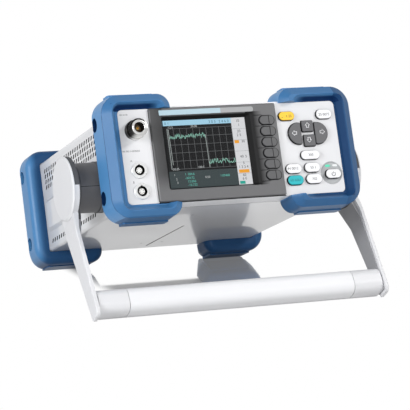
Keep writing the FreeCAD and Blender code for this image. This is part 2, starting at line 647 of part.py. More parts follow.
def pill(sketch, left, right, low, high):
    """Draw a bar with two half-round ends."""
    left, right, low, high = as_size(left), as_size(right), as_size(low), as_size(high)
    radius = (high - low) / 2
    middle = (high + low) / 2
    near, far = left + radius, right - radius
    first = sketch.GeometryCount
    right_ring = Part.Circle(V(far.number, middle.number, 0), V(0, 0, 1), radius.number)
    left_ring = Part.Circle(V(near.number, middle.number, 0), V(0, 0, 1), radius.number)
    shapes = [
        Part.LineSegment(V(near.number, low.number, 0), V(far.number, low.number, 0)),
        Part.ArcOfCircle(right_ring, -math.pi / 2, math.pi / 2),
        Part.LineSegment(V(far.number, high.number, 0), V(near.number, high.number, 0)),
        Part.ArcOfCircle(left_ring, math.pi / 2, 3 * math.pi / 2),
    ]
    for shape in shapes:
        sketch.addGeometry(shape, False)
    for index in range(4):
        following = first + (index + 1) % 4
        sketch.addConstraint(Sketcher.Constraint("Tangent", first + index, 2, following, 1))
    pin_point(sketch, first + 1, 3, far, middle)
    pin_point(sketch, first + 3, 3, near, middle)
    fix_radius(sketch, first + 1, radius)
    fix_radius(sketch, first + 3, radius)


def half_moon(sketch, flat, bulge, low, high):
    """Draw a straight edge closed by one arc that bulges to the left or to the right."""
    flat, bulge, low, high = as_size(flat), as_size(bulge), as_size(low), as_size(high)
    half = (high - low) / 2
    middle = (high + low) / 2
    depth = flat - bulge if flat.number > bulge.number else bulge - flat
    radius = (half * half + depth * depth) / (2 * depth)
    side = 1 if bulge.number > flat.number else -1
    centre = bulge - side * radius
    reach = math.atan2(half.number, side * (flat.number - centre.number))
    ring = Part.Circle(V(centre.number, middle.number, 0), V(0, 0, 1), radius.number)
    first = sketch.GeometryCount
    if side > 0:
        arc = Part.ArcOfCircle(ring, -reach, reach)
        line = Part.LineSegment(V(flat.number, high.number, 0), V(flat.number, low.number, 0))
        ends = (high, low)
    else:
        arc = Part.ArcOfCircle(ring, math.pi - reach, math.pi + reach)
        line = Part.LineSegment(V(flat.number, low.number, 0), V(flat.number, high.number, 0))
        ends = (low, high)
    sketch.addGeometry(arc, False)
    sketch.addGeometry(line, False)
    sketch.addConstraint(Sketcher.Constraint("Coincident", first, 2, first + 1, 1))
    sketch.addConstraint(Sketcher.Constraint("Coincident", first + 1, 2, first, 1))
    pin_point(sketch, first + 1, 1, flat, ends[0])
    pin_point(sketch, first + 1, 2, flat, ends[1])
    fix_radius(sketch, first, radius)


def add_feature(body, kind, sketch):
    """Add a sketch-based feature to its body."""
    feature = body.newObject("PartDesign::" + kind, f"{body.Name}_{kind.lower()}")
    feature.Profile = sketch
    return feature


def pad(body, sketch, length, towards=1, taper=None):
    """Raise the sketch along its plane's axis, towards its plus or minus end."""
    feature = add_feature(body, "Pad", sketch)
    feature.setExpression("Length", as_size(length).text)
    facing = -1 if is_xz(sketch) else 1
    feature.Reversed = towards != facing
    if taper is not None:
        feature.setExpression("TaperAngle", (-as_size(taper)).text)
    return feature


def pocket(body, sketch, depth, towards=1, taper=None):
    """Sink the sketch along its plane's axis, towards its plus or minus end."""
    feature = add_feature(body, "Pocket", sketch)
    feature.setExpression("Length", as_size(depth).text)
    facing = -1 if is_xz(sketch) else 1
    feature.Reversed = towards == facing
    if taper is not None:
        feature.setExpression("TaperAngle", (-as_size(taper)).text)
    return feature


def cut_through(body, sketch):
    """Sink the sketch through everything on both sides of its plane."""
    feature = add_feature(body, "Pocket", sketch)
    feature.Type = "ThroughAll"
    feature.SideType = "Symmetric"
    return feature


def is_xz(sketch):
    """Tell whether a sketch lies on the plane whose normal points to the front."""
    return sketch.AttachmentSupport[0][0].Role == "XZ_Plane"


def turn(body, points, axis="Y"):
    """Revolve an outline about the body's Y axis (points are radius, Y) or X axis (points are X, radius)."""
    sketch = new_sketch(body, "XY", 0)
    outline(sketch, points)
    feature = add_feature(body, "Revolution", sketch)
    feature.ReferenceAxis = (origin_feature(body, axis + "_Axis"), [""])
    feature.Angle = 360
    return feature


def edges_where(body, test):
    """Name the edges of the body whose bounding boxes pass the test."""
    doc.recompute()
    names = []
    for number, edge in enumerate(body.Tip.Shape.Edges, start=1):
        if test(edge.BoundBox):
            names.append(f"Edge{number}")
    return names


def round_edges(body, radius, test):
    """Fillet the edges that pass the test."""
    names = edges_where(body, test)
    base = body.Tip
    feature = body.newObject("PartDesign::Fillet", body.Name + "_fillet")
    feature.Base = (base, names)
    feature.setExpression("Radius", as_size(radius).text)
    return feature


def bevel_edges(body, size, test):
    """Chamfer the edges that pass the test."""
    names = edges_where(body, test)
    base = body.Tip
    feature = body.newObject("PartDesign::Chamfer", body.Name + "_chamfer")
    feature.Base = (base, names)
    feature.setExpression("Size", as_size(size).text)
    return feature


def repeat(body, original, axis, pitch, count):
    """Repeat a feature in a row along one of the body's axes."""
    pattern = body.newObject("PartDesign::LinearPattern", body.Name + "_row")
    pattern.Originals = [original]
    pattern.Direction = (origin_feature(body, axis + "_Axis"), [""])
    pattern.setExpression("Length", (as_size(pitch) * (count - 1)).text)
    pattern.Occurrences = count
    body.Tip = pattern
    return pattern


def at_level(low, high, level):
    """Tell whether a bounding-box side is flat at a level."""
    return abs(low - level) < 0.01 and abs(high - level) < 0.01


def gather(label, parts):
    """Keep like pieces together as separate solids of one sub-part."""
    group = doc.addObject("Part::Compound", label)
    group.Label = label
    group.Links = parts
    return finished(group)


def cabinet_sleeve():
    """Wrapped sheet-metal tube with louvres, raised side fields and a lock seam underneath."""
    body = new_body("cabinet_sleeve")
    tube = new_sketch(body, "XZ", d.sleeve_front)
    rounded(tube, -d.case_half, d.case_half, d.case_low, d.case_high, d.case_corner)
    wall = d.sheet_wall
    rounded(
        tube,
        wall - d.case_half,
        d.case_half - wall,
        d.case_low + wall,
        d.case_high - wall,
        d.case_corner - wall,
    )
    pad(body, tube, d.sleeve_back - d.sleeve_front)
    for side in (1, -1):
        field = new_sketch(body, "YZ", side * d.case_half)
        rectangle(field, d.boss_front, d.boss_back, d.boss_low, d.boss_high)
        pad(body, field, d.boss_proud, side, d.boss_angle)
    seam = new_sketch(body, "XY", d.case_low)
    half = d.seam_wide / 2
    rectangle(seam, d.seam_x - half, d.seam_x + half, d.seam_front, d.seam_back)
    pocket(body, seam, d.groove_deep)
    half = d.vent_tall / 2
    rows = (
        (d.vent_first, d.vent_low, VENT_COLUMNS, VENT_ROWS),
        (d.low_vent_first, d.low_vent_level, LOW_VENT_COLUMNS, 1),
    )
    for first, level, columns, count in rows:
        for row in range(count):
            middle = level + row * d.vent_row
            slot = new_sketch(body, "YZ", 0)
            outline(slot, [
                (first, middle - half),
                (first + d.vent_wide, middle - half),
                (first + d.vent_wide - d.vent_lean, middle + half),
                (first - d.vent_lean, middle + half),
            ])
            repeat(body, cut_through(body, slot), "Y", d.vent_pitch, columns)
    return finished(body)


def front_frame():
    """Cast ring behind the panel, with a ledge for the board and a lip for the sleeve."""
    body = new_body("front_frame")
    ring = new_sketch(body, "XZ", d.frame_front)
    rounded(ring, -d.case_half, d.case_half, d.case_low, d.case_high, d.case_corner)
    pad(body, ring, d.frame_back - d.frame_front)
    lip = new_sketch(body, "XZ", d.frame_back)
    inset = d.sheet_wall + d.slide_gap
    rounded(
        lip,
        inset - d.case_half,
        d.case_half - inset,
        d.case_low + inset,
        d.case_high - inset,
        d.case_corner - inset,
    )
    pad(body, lip, d.lip_back - d.frame_back)
    well = new_sketch(body, "XZ", d.frame_front)
    rim = d.frame_rim
    rectangle(well, rim - d.case_half, d.case_half - rim, d.case_low + rim, d.case_high - rim)
    pocket(body, well, d.ledge_front - d.frame_front)
    through = new_sketch(body, "XZ", d.ledge_front)
    rim = d.ledge_rim
    rectangle(through, rim - d.case_half, d.case_half - rim, d.case_low + rim, d.case_high - rim)
    pocket(body, through, d.lip_back - d.ledge_front)
    return finished(body)


def draw_key(sketch, name, form, x, z, margin):
    """Draw one panel key's outline about its centre, grown by a margin."""
    wide = getattr(d, name + "_wide") / 2 + margin
    tall = getattr(d, name + "_tall") / 2 + margin
    if form == "pill":
        pill(sketch, x - wide, x + wide, z - tall, z + tall)
    elif form == "moon_left":
        half_moon(sketch, x + wide, x - wide, z - tall, z + tall)
    elif form == "moon_right":
        half_moon(sketch, x - wide, x + wide, z - tall, z + tall)
    else:
        rounded(sketch, x - wide, x + wide, z - tall, z + tall, d.square_corner + margin)


def front_panel():
    """Pale plate with a cut-out behind the bezel and holes for keys, dish, jack and sockets."""
    body = new_body("front_panel")
    plate = new_sketch(body, "XZ", d.panel_front)
    rounded(plate, -d.panel_half, d.panel_half, d.panel_low, d.panel_high, d.panel_corner)
    lap = d.bezel_lap
    rectangle(
        plate, d.bezel_left + lap, d.bezel_right - lap, d.bezel_low + lap, d.bezel_high - lap
    )
    for name, x, z, wide, tall, form in KEYS:
        if name != "key_power":
            draw_key(plate, name, form, getattr(d, name + "_x"), getattr(d, name + "_z"), d.key_gap)
    circle(plate, d.dish_x, d.dish_z, d.dish_radius - d.dish_rim / 2)
    circle(plate, d.connector_x, d.jack_z, d.jack_tail_radius)
    circle(plate, d.connector_x, d.socket_a_z, d.socket_tail_radius)
    circle(plate, d.connector_x, d.socket_b_z, d.socket_tail_radius)
    pad(body, plate, d.panel_back - d.panel_front)
    return finished(body)


def softkey_height(index):
    """Height of a softkey, counted from the top."""
    return d.softkey_top - index * d.softkey_pitch


def display_bezel():
    """Moulded surround whose recess slopes in to the screen, with holes for the softkeys."""
    body = new_body("display_bezel")
    face = new_sketch(body, "XZ", d.bezel_front)
    rounded(face, d.bezel_left, d.bezel_right, d.bezel_low, d.bezel_high, d.bezel_corner)
    pad(body, face, d.panel_front - d.bezel_front)
    bevel_edges(body, d.bezel_edge, lambda box: at_level(box.YMin, box.YMax, values["bezel_front"]))
    plug = new_sketch(body, "XZ", d.panel_front)
    lap = d.bezel_lap + d.key_gap
    rectangle(plug, d.bezel_left + lap, d.bezel_right - lap, d.bezel_low + lap, d.bezel_high - lap)
    pad(body, plug, d.bezel_back - d.panel_front)
    opening = new_sketch(body, "XZ", d.bezel_front)
    rounded(
        opening, d.recess_left, d.recess_right, d.recess_low, d.recess_high, d.recess_corner
    )
    sight = new_sketch(body, "XZ", d.window_front)
    rounded(sight, d.view_left, d.view_right, d.view_low, d.view_high, d.view_corner)
    recess = body.newObject("PartDesign::SubtractiveLoft", "screen_recess")
    recess.Profile = opening
    recess.Sections = [sight]
    recess.Ruled = True
    seat = new_sketch(body, "XZ", d.window_front)
    lap = d.window_lap
    rectangle(seat, d.view_left - lap, d.view_right + lap, d.view_low - lap, d.view_high + lap)
    pocket(body, seat, d.bezel_back - d.window_front)
    hole = new_sketch(body, "XZ", d.bezel_front)
    half = d.softkey_tall / 2 + d.key_gap
    lowest = softkey_height(SOFTKEYS - 1)
    pill(hole, d.softkey_left - d.key_gap, d.softkey_right + d.key_gap, lowest - half, lowest + half)
    depth = d.bezel_back - d.bezel_front
    repeat(body, pocket(body, hole, depth), "Z", d.softkey_pitch, SOFTKEYS)
    divider = new_sketch(body, "XZ", d.bezel_front)
    level = lowest - d.softkey_pitch / 2
    half = d.divider_wide / 2
    rectangle(divider, d.divider_left, d.divider_right, level - half, level + half)
    repeat(body, pocket(body, divider, d.groove_deep), "Z", d.softkey_pitch, SOFTKEYS + 1)
    return finished(body)


def display_window():
    """Clear pane seated in the back of the bezel."""
    body = new_body("display_window")
    pane = new_sketch(body, "XZ", d.window_front)
    lap = d.window_lap - d.window_gap
    rectangle(pane, d.view_left - lap, d.view_right + lap, d.view_low - lap, d.view_high + lap)
    pad(body, pane, d.window_back - d.window_front)
    return finished(body)


def display_module():
    """Screen module in its metal tray, behind the pane."""
    body = new_body("display_module")
    lap = d.module_lap
    tray = new_sketch(body, "XZ", d.bezel_back)
    rectangle(tray, d.view_left - lap, d.view_right + lap, d.view_low - lap, d.view_high + lap)
    pad(body, tray, d.module_back - d.bezel_back)
    glass = new_sketch(body, "XZ", d.window_back)
    lap = d.window_lap - d.glass_gap
    rectangle(glass, d.view_left - lap, d.view_right + lap, d.view_low - lap, d.view_high + lap)
    pad(body, glass, d.bezel_back - d.window_back)
    return finished(body)


def softkeys():
    """Six keys beside the screen, round at both ends, the right part sloping down to the bezel."""
    for index in range(SOFTKEYS):
        height = softkey_height(index).number
        body = new_body(f"softkey_{index + 1}", (values["softkey_left"], 0, height))
        length = d.softkey_right - d.softkey_left
        half = d.softkey_tall / 2
        cap = new_sketch(body, "XZ", d.softkey_front)
        pill(cap, 0, length, -half, half)
        pad(body, cap, d.softkey_flange_front - d.softkey_front)
        face = values["softkey_front"]
        bevel_edges(body, d.key_edge, lambda box: at_level(box.YMin, box.YMax, face))
        slope = new_sketch(body, "XY", 0)
        outline(slope, [
            (d.softkey_flat, d.softkey_front - d.slope_room),
            (d.softkey_flat, d.softkey_front),
            (length, d.softkey_front + d.softkey_fall),
            (length + d.slope_room, d.softkey_front - d.slope_room),
        ])
        cut_through(body, slope)
        flange = new_sketch(body, "XZ", d.softkey_flange_front)
        lap = d.key_gap + d.key_lap / 2
        rectangle(flange, -lap, length + lap, -half - lap, half + lap)
        pad(body, flange, d.stem_back - d.softkey_flange_front)
        finished(body)


def panel_keys():
    """Twelve moulded keys, each with a flange behind the panel and a stem on its rubber spring."""
    for name, x, z, wide, tall, form in KEYS:
        body = new_body(name, (x, 0, z))
        cap = new_sketch(body, "XZ", d.key_front)
        draw_key(cap, name, form, as_size(0), as_size(0), as_size(0))
        behind = d.dish_back + 0.1 if name == "key_power" else d.key_flange_front
        pad(body, cap, behind - d.key_front)
        if form.startswith("moon"):
            round_edges(body, d.moon_corner, lambda box: box.YLength > 1)
        face = values["key_front"]
        bevel_edges(body, d.key_edge, lambda box: at_level(box.YMin, box.YMax, face))
        flange = new_sketch(body, "XZ", behind)
        half_wide = getattr(d, name + "_wide") / 2
        half_tall = getattr(d, name + "_tall") / 2 + d.key_gap + d.key_lap
        rectangle(flange, -half_wide, half_wide, -half_tall, half_tall)
        thickness = d.key_flange_back - d.key_flange_front
        pad(body, flange, thickness)
        stem = new_sketch(body, "XZ", behind + thickness)
        rectangle(stem, -d.stem_half, d.stem_half, -d.stem_half, d.stem_half)
        pad(body, stem, d.stem_back - behind - thickness)
        finished(body)


def power_key_dish():
    """Round dish let into the panel, with a sloped rim, a hole for the key and two lens slots."""
    body = new_body("power_key_dish")
    front = d.panel_front - d.dish_proud
    disc = new_sketch(body, "XZ", front)
    circle(disc, d.dish_x, d.dish_z, d.dish_radius)
    pad(body, disc, d.dish_proud)
    plug = new_sketch(body, "XZ", d.panel_front)
    circle(plug, d.dish_x, d.dish_z, d.dish_radius - d.dish_rim / 2 - d.dish_gap)
    pad(body, plug, d.dish_back - d.panel_front)
    floor = new_sketch(body, "XZ", front)
    circle(floor, d.dish_x, d.dish_z, d.dish_radius - d.dish_edge)
    pocket(body, floor, d.dish_floor - front, 1, 45)
    hole = new_sketch(body, "XZ", front)
    draw_key(hole, "key_power", "pill", d.key_power_x, d.key_power_z, d.key_gap)
    for x in (d.lens_left_x, d.lens_right_x):
        half_wide, half_tall = d.lens_wide / 2, d.lens_tall / 2
        pill(hole, x - half_wide, x + half_wide, d.lens_z - half_tall, d.lens_z + half_tall)
    pocket(body, hole, d.dish_back - front)
    return finished(body)


def status_lenses():
    """Two light lenses in the dish, the left one lit."""
    lenses = []
    for label, x in (("lit_lens", d.lens_left_x), ("dark_lens", d.lens_right_x)):
        body = new_body(label)
        face = new_sketch(body, "XZ", d.lens_front)
        half_wide, half_tall = d.lens_wide / 2, d.lens_tall / 2
        pill(face, x - half_wide, x + half_wide, d.lens_z - half_tall, d.lens_z + half_tall)
        pad(body, face, d.lens_back - d.lens_front)
        lenses.append(body)
    gather("status_lenses", lenses)


def keypad_mat():
    """Rubber mat with one square spring behind each key."""
    body = new_body("keypad_mat")
    sheet_face = new_sketch(body, "XZ", d.mat_front)
    rectangle(sheet_face, d.mat_left, d.mat_right, d.mat_low, d.mat_high)
    pad(body, sheet_face, d.board_front - d.mat_front)
    springs = new_sketch(body, "XZ", d.dome_front)
    middle = (d.softkey_left + d.softkey_right) / 2
    places = [(middle, softkey_height(index)) for index in range(SOFTKEYS)]
    places += [(getattr(d, name + "_x"), getattr(d, name + "_z")) for name, *rest in KEYS]
    half = d.dome_half
    for x, z in places:
        rectangle(springs, x - half, x + half, z - half, z + half)
    pad(body, springs, d.mat_front - d.dome_front)
    return finished(body)


def front_board():
    """Circuit board on the frame's ledge, with clearance holes for the jack and the sockets."""
    body = new_body("front_board")
    plate = new_sketch(body, "XZ", d.board_front)
    inset = d.frame_rim + d.board_gap
    rectangle(
        plate, inset - d.case_half, d.case_half - inset, d.case_low + inset, d.case_high - inset
    )
    pad(body, plate, d.ledge_front - d.board_front)
    holes = new_sketch(body, "XZ", d.board_front)
    circle(holes, d.connector_x, d.jack_z, d.jack_tail_radius + 1)
    circle(holes, d.connector_x, d.socket_a_z, d.socket_tail_radius + 1)
    circle(holes, d.connector_x, d.socket_b_z, d.socket_tail_radius + 1)
    cut_through(body, holes)
    return finished(body)


def rf_jack():
    """Coaxial reference output: threaded shell with nut, insulator and hollow centre contact."""
    centre = (values["connector_x"], 0, values["jack_z"])
    shell = new_body("rf_jack_body", centre)
    neck_end = d.jack_base_front
    neck_start = neck_end - d.jack_neck_wide
    turn(shell, [
        (d.jack_bore, d.jack_front),
        (d.jack_radius - d.jack_edge, d.jack_front),
        (d.jack_radius, d.jack_front + d.jack_edge),
        (d.jack_radius, neck_start),
        (d.jack_neck_radius, neck_start),
        (d.jack_neck_radius, neck_end),
        (d.jack_base_radius, neck_end),
        (d.jack_base_radius, d.panel_front),
        (d.jack_tail_radius, d.panel_front),
        (d.jack_tail_radius, d.panel_back),
        (d.jack_nut_radius, d.panel_back),
        (d.jack_nut_radius, d.jack_nut_back),
        (d.jack_tail_radius, d.jack_nut_back),
        (d.jack_tail_radius, d.jack_back),
        (d.jack_bore, d.jack_back),
    ])
    finished(shell)
    insulator = new_body("rf_jack_insulator", centre)
    turn(insulator, [
        (d.pin_radius, d.insulator_front),
        (d.jack_bore, d.insulator_front),
        (d.jack_bore, d.jack_back),
        (d.pin_radius, d.jack_back),
    ])
    finished(insulator)
    contact = new_body("rf_jack_contact", centre)
    turn(contact, [
        (d.pin_bore, d.pin_front),
        (d.pin_radius, d.pin_front),
        (d.pin_radius, d.jack_back + d.contact_tail),
        (0, d.jack_back + d.contact_tail),
        (0, d.pin_floor),
        (d.pin_bore, d.pin_floor),
    ])
    finished(contact)


def sensor_sockets():
    """Two round sockets with a keyed bore, a pale contact insert and six contacts each."""
    shells = []
    inserts = []
    contacts = []
    for letter in ("a", "b"):
        centre = (values["connector_x"], 0, values[f"socket_{letter}_z"])
        shell = new_body("socket_shell_" + letter, centre)
        turn(shell, [
            (d.socket_bore, d.socket_front),
            (d.socket_radius - d.jack_edge, d.socket_front),
            (d.socket_radius, d.socket_front + d.jack_edge),
            (d.socket_radius, d.panel_front),
            (d.socket_tail_radius, d.panel_front),
            (d.socket_tail_radius, d.panel_back),
            (d.socket_nut_radius, d.panel_back),
            (d.socket_nut_radius, d.socket_nut_back),
            (d.socket_tail_radius, d.socket_nut_back),
            (d.socket_tail_radius, d.socket_back),
            (d.insert_radius, d.socket_back),
            (d.insert_radius, d.insert_floor),
            (d.socket_bore, d.insert_floor),
        ])
        keyway = new_sketch(shell, "XZ", d.socket_front)
        half = d.socket_bore / 2
        outline(keyway, [(-half, half), (half, half), (0, d.socket_key)])
        pocket(shell, keyway, d.insert_floor - d.socket_front)
        shells.append(shell)
        insert = new_body("insert_" + letter, centre)
        turn(insert, [
            (0, d.insert_front),
            (d.insert_radius, d.insert_front),
            (d.insert_radius, d.socket_back),
            (0, d.socket_back),
        ])
        wells = new_sketch(insert, "XZ", d.insert_front)
        for index in range(SOCKET_CONTACTS):
            angle = 2 * math.pi * (index + 0.5) / SOCKET_CONTACTS
            x = d.contact_circle * round(math.cos(angle), 6)
            z = d.contact_circle * round(math.sin(angle), 6)
            hexagon(wells, x, z, d.contact_radius + d.contact_gap)
            contact = doc.addObject("Part::Prism", f"contact_{letter}_{index + 1}")
            contact.Polygon = 6
            contact.setExpression("Circumradius", d.contact_radius.text)
            length = d.socket_back + d.contact_tail - d.contact_front
            contact.setExpression("Height", length.text)
            start = V(centre[0] + x.number, values["contact_front"], centre[2] + z.number)
            spot = FreeCAD.Placement(start, FreeCAD.Rotation(V(1, 0, 0), -90))
            contact.Placement = UNIT.multiply(spot)
            contacts.append(contact)
        pocket(insert, wells, d.socket_back - d.insert_front)
        inserts.append(insert)
    gather("sensor_sockets", shells)
    gather("sensor_socket_inserts", inserts)
    gather("sensor_socket_pins", contacts)


def guard_section(body, side, horn, level, inset, low, high):
    """Draw a guard's outer section, drawn in from its full size by an inset."""
    sketch = new_sketch(body, "XZ", level)
    outer, inner = side * (d.guard_side - inset), side * (horn + inset)
    outer_radius, inner_radius = d.guard_corner - inset, d.horn_corner - inset
    if side > 0:
        rounded(sketch, inner, outer, low, high, inner_radius, outer_radius)
    else:
        rounded(sketch, outer, inner, low, high, outer_radius, inner_radius)
    return sketch


def guard_block(body, side, horn, start, end, rounded_end, radius):
    """Raise the full-height part of a guard and round the edge at one of its ends."""
    section = guard_section(body, side, horn, start, as_size(0), d.guard_low, d.guard_high)
    pad(body, section, end - start)
    level = rounded_end.number
    round_edges(body, radius, lambda box: at_level(box.YMin, box.YMax, level))


def guard_slope(body, side, horn, sections):
    """Loft the sloping end of a guard through its sections."""
    sketches = [guard_section(body, side, horn, *section) for section in sections]
    loft = body.newObject("PartDesign::AdditiveLoft", body.Name + "_slope")
    loft.Profile = sketches[0]
    loft.Sections = sketches[1:]
    loft.Ruled = True


def guard_hollow(body, side, start, end, half, low, high, corner=None):
    """Cut the guard's seat on the case or its opening round the panel."""
    sketch = new_sketch(body, "XZ", start)
    near, far = (as_size(0), half) if side > 0 else (-half, as_size(0))
    if corner is None:
        rectangle(sketch, near, far, low, high)
    else:
        rounded(sketch, near, far, low, high, corner)
    pocket(body, sketch, end - start)


def guard_scoop(body, side, level, towards):
    """Cut the hollow behind the ridge, which narrows with depth and ends round before the horns."""
    sketch = new_sketch(body, "XZ", level)
    near, far = side * d.scoop_end, side * d.scoop_half
    if side < 0:
        near, far = far, near
    rounded(sketch, near, far, d.scoop_low, d.scoop_high, d.scoop_corner)
    pocket(body, sketch, d.panel_front - d.guard_front, towards, d.scoop_angle)


def guard_wells(body, side, well_y):
    """Sink the two screw wells in the guard's outer side."""
    holes = ((d.side_hole_radius, d.side_hole_deep), (d.screw_shank, d.screw_hole_deep))
    for radius, depth in holes:
        sketch = new_sketch(body, "YZ", side * d.guard_side)
        circle(sketch, well_y, d.side_hole_low, radius)
        circle(sketch, well_y, d.side_hole_high, radius)
        pocket(body, sketch, depth, -side)


def guard_foot(body, side, start, end, face, proud, towards):
    """Raise one pad on the guard's upper or lower face."""
    near, far = side * d.foot_inner, side * d.foot_outer
    if side < 0:
        near, far = far, near
    sketch = new_sketch(body, "XY", face - towards * d.foot_root)
    rounded(sketch, near, far, start, end, d.foot_corner)
    pad(body, sketch, proud + d.foot_root, towards)


def front_guard(label, side, horn):
    """C-shaped moulded guard that hugs one side of the front."""
    body = new_body(label)
    guard_block(body, side, horn, d.guard_full, d.guard_back, d.guard_back, d.guard_round)
    guard_slope(body, side, horn, (
        (d.guard_front, d.slope_wide, d.ridge_low, d.ridge_high),
        (d.slope_back, as_size(0), d.edge_low, d.edge_high),
        (d.guard_full, as_size(0), d.guard_low, d.guard_high),
    ))
    lip = (d.ring_half, d.ring_low, d.ring_high, d.ring_corner)
    guard_hollow(body, side, d.guard_front, d.panel_back, *lip)
    guard_hollow(body, side, d.panel_back, d.guard_back, d.wrap_half, d.wrap_low, d.wrap_high)
    guard_scoop(body, side, d.guard_front, 1)
    guard_foot(body, side, d.foot_front, d.guard_back, d.guard_high, d.foot_proud, 1)
    guard_foot(body, side, d.foot_front, d.guard_back, d.guard_low, d.foot_low_proud, -1)
    guard_wells(body, side, d.side_hole_y)
    return finished(body)


def rear_guard(label, side, horn):
    """C-shaped moulded guard that hugs one side of the rear and stands proud of the rear panel."""
    body = new_body(label)
    guard_block(body, side, horn, d.rear_front, d.rear_side, d.rear_front, d.rear_round)
    guard_slope(body, side, horn, (
        (d.rear_side, as_size(0), d.guard_low, d.guard_high),
        (d.rear_full, d.rear_draw, d.guard_low, d.guard_high),
        (d.rear_end, d.rear_slope_wide, d.ridge_low, d.ridge_high),
    ))
    seat_end = d.rear_panel_back + d.slide_gap
    guard_hollow(body, side, d.rear_front, seat_end, d.wrap_half, d.wrap_low, d.wrap_high)
    lip = (d.ring_half, d.ring_low, d.ring_high, d.ring_corner)
    guard_hollow(body, side, seat_end, d.rear_end, *lip)
    guard_scoop(body, side, d.rear_end, -1)
    feet = (d.rear_foot_front, d.rear_foot_back, d.guard_low, d.foot_low_proud)
    guard_foot(body, side, *feet, -1)
    guard_wells(body, side, d.rear_hole_y)
    return finished(body)


def guard_screws():
    """Eight screws at the bottom of the guards' wells."""
    screws = []
    for side in (-1, 1):
        for well_y in (values["side_hole_y"], values["rear_hole_y"]):
            for well_z in (values["side_hole_low"], values["side_hole_high"]):
                start = side * (values["guard_side"] - values["side_hole_deep"])
                body = new_body("guard_screw", (start, well_y, well_z))
                tall = side * d.screw_head_tall
                turn(body, [
                    (-side * d.screw_reach, 0),
                    (-side * d.screw_reach, d.screw_shank),
                    (0, d.screw_shank),
                    (0, d.screw_head),
                    (tall, d.screw_head),
                    (tall, 0),
                ], "X")
                screws.append(body)
    gather("guard_screws", screws)


def hub_drums():
    """Fixed drums that carry the handle, each with a foot ring and the bore for its pivot pin."""
    drums = []
    bore = d.pivot_radius + d.pivot_gap
    for side in (-1, 1):
        body = new_body("hub_drum", (0, values["hub_y"], values["hub_z"]))
        turn(body, [
            (side * d.case_half, bore),
            (side * d.case_half, d.hub_ring_radius),
            (side * d.hub_ring_end, d.hub_ring_radius),
            (side * d.hub_ring_end, d.drum_radius),
            (side * d.drum_end, d.drum_radius),
            (side * d.drum_end, bore),
        ], "X")
        drums.append(body)
    gather("hub_drums", drums)


def arm_strip(body, side, profile, inset, front_corner, rear_corner):
    """Raise an arm's side profile, cut its edges to a taper and round both corners of its tip."""
    sketch = new_sketch(body, "XZ", -d.arm_reach)
    outline(sketch, [(side * x, z) for x, z in profile])
    pad(body, sketch, 2 * d.arm_reach)
    edges = new_sketch(body, "YZ", 0)
    tip = -d.arm_length
    below = tip - d.arm_corner
    outline(edges, [
        (-2 * d.arm_reach, 0),
        (d.arm_front_top + inset, 0),
        (d.arm_front_tip + inset, tip),
        (d.arm_front_tip + inset, below),
        (-2 * d.arm_reach, below),
    ])
    outline(edges, [
        (2 * d.arm_reach, 0),
        (d.arm_rear_top, 0),
        (d.arm_rear_tip, tip),
        (d.arm_rear_tip, below),
        (2 * d.arm_reach, below),
    ])
    cut_through(body, edges)
    lowest = min(z.number for x, z in profile)
    middle = (values["arm_front_tip"] + inset.number + values["arm_rear_tip"]) / 2
    for radius, towards in ((front_corner, -1), (rear_corner, 1)):
        round_edges(
            body,
            radius,
            lambda box: at_level(box.ZMin, box.ZMax, lowest)
            and box.YLength < 0.1
            and towards * (box.YMin - middle) > 0,
        )


def add_disc(body, side, start, end, radius):
    """Raise a round of the handle's hub."""
    sketch = new_sketch(body, "YZ", side * start)
    circle(sketch, 0, 0, radius)
    pad(body, sketch, end - start, side)


def handle_liner(label, side):
    """Dark inner frame of one arm: a hub boss, the upper part of the hub disc and a thin strip."""
    body = new_body(label, None, HANDLE)
    tip = d.liner_inset - d.arm_length
    arm_strip(body, side, [
        (d.liner_start, -d.strip_drop),
        (d.disc_start, -d.strip_drop),
        (d.disc_start, -d.bend_start),
        (d.arm_inner, -d.bend_end),
        (d.arm_inner, tip),
        (d.liner_inner, tip),
        (d.liner_inner, -d.liner_bend_end),
        (d.liner_start, -d.bend_start),
    ], d.liner_inset, d.liner_corner, d.liner_corner)
    add_disc(body, side, d.liner_start, d.disc_start, d.liner_boss_radius)
    add_disc(body, side, d.disc_start, d.disc_end, d.disc_radius)
    lower = new_sketch(body, "YZ", side * d.disc_start)
    rectangle(lower, -d.arm_reach, d.arm_reach, -d.bend_start, -d.root_drop)
    pocket(body, lower, d.disc_end - d.disc_start, side)
    hole = new_sketch(body, "YZ", 0)
    circle(hole, 0, 0, d.pivot_radius)
    cut_through(body, hole)
    return finished(body)


def handle_arm(label, side):
    """Pale outer shell of one arm, whose root is the lower part of the hub disc."""
    body = new_body(label, None, HANDLE)
    arm_strip(body, side, [
        (d.disc_start, -d.arm_start),
        (d.disc_end, -d.arm_start),
        (d.disc_end, -d.bend_start),
        (d.arm_outer, -d.bend_end),
        (d.arm_outer, -d.arm_length),
        (d.arm_inner, -d.arm_length),
        (d.arm_inner, -d.bend_end),
        (d.disc_start, -d.bend_start),
    ], as_size(0), d.arm_corner, d.arm_heel)
    outer = side * values["arm_outer"]
    below_bend = -values["bend_end"] - 1
    round_edges(
        body,
        d.arm_edge,
        lambda box: at_level(box.XMin, box.XMax, outer) and box.ZMin < below_bend,
    )
    add_disc(body, side, d.disc_start, d.disc_end, d.disc_radius)
    upper = new_sketch(body, "YZ", 0)
    rectangle(upper, -d.arm_reach, d.arm_reach, -d.root_drop, d.arm_reach)
    cut_through(body, upper)
    return finished(body)


def hub_caps():
    """Round covers over the pivots, with a bevelled rim."""
    caps = []
    for side in (-1, 1):
        body = new_body("hub_cap", None, HANDLE)
        turn(body, [
            (side * d.disc_end, 0),
            (side * d.disc_end, d.cap_radius),
            (side * d.cap_rim, d.cap_radius),
            (side * d.cap_face, d.cap_radius - d.cap_round),
            (side * d.cap_face, 0),
        ], "X")
        caps.append(body)
    gather("hub_caps", caps)


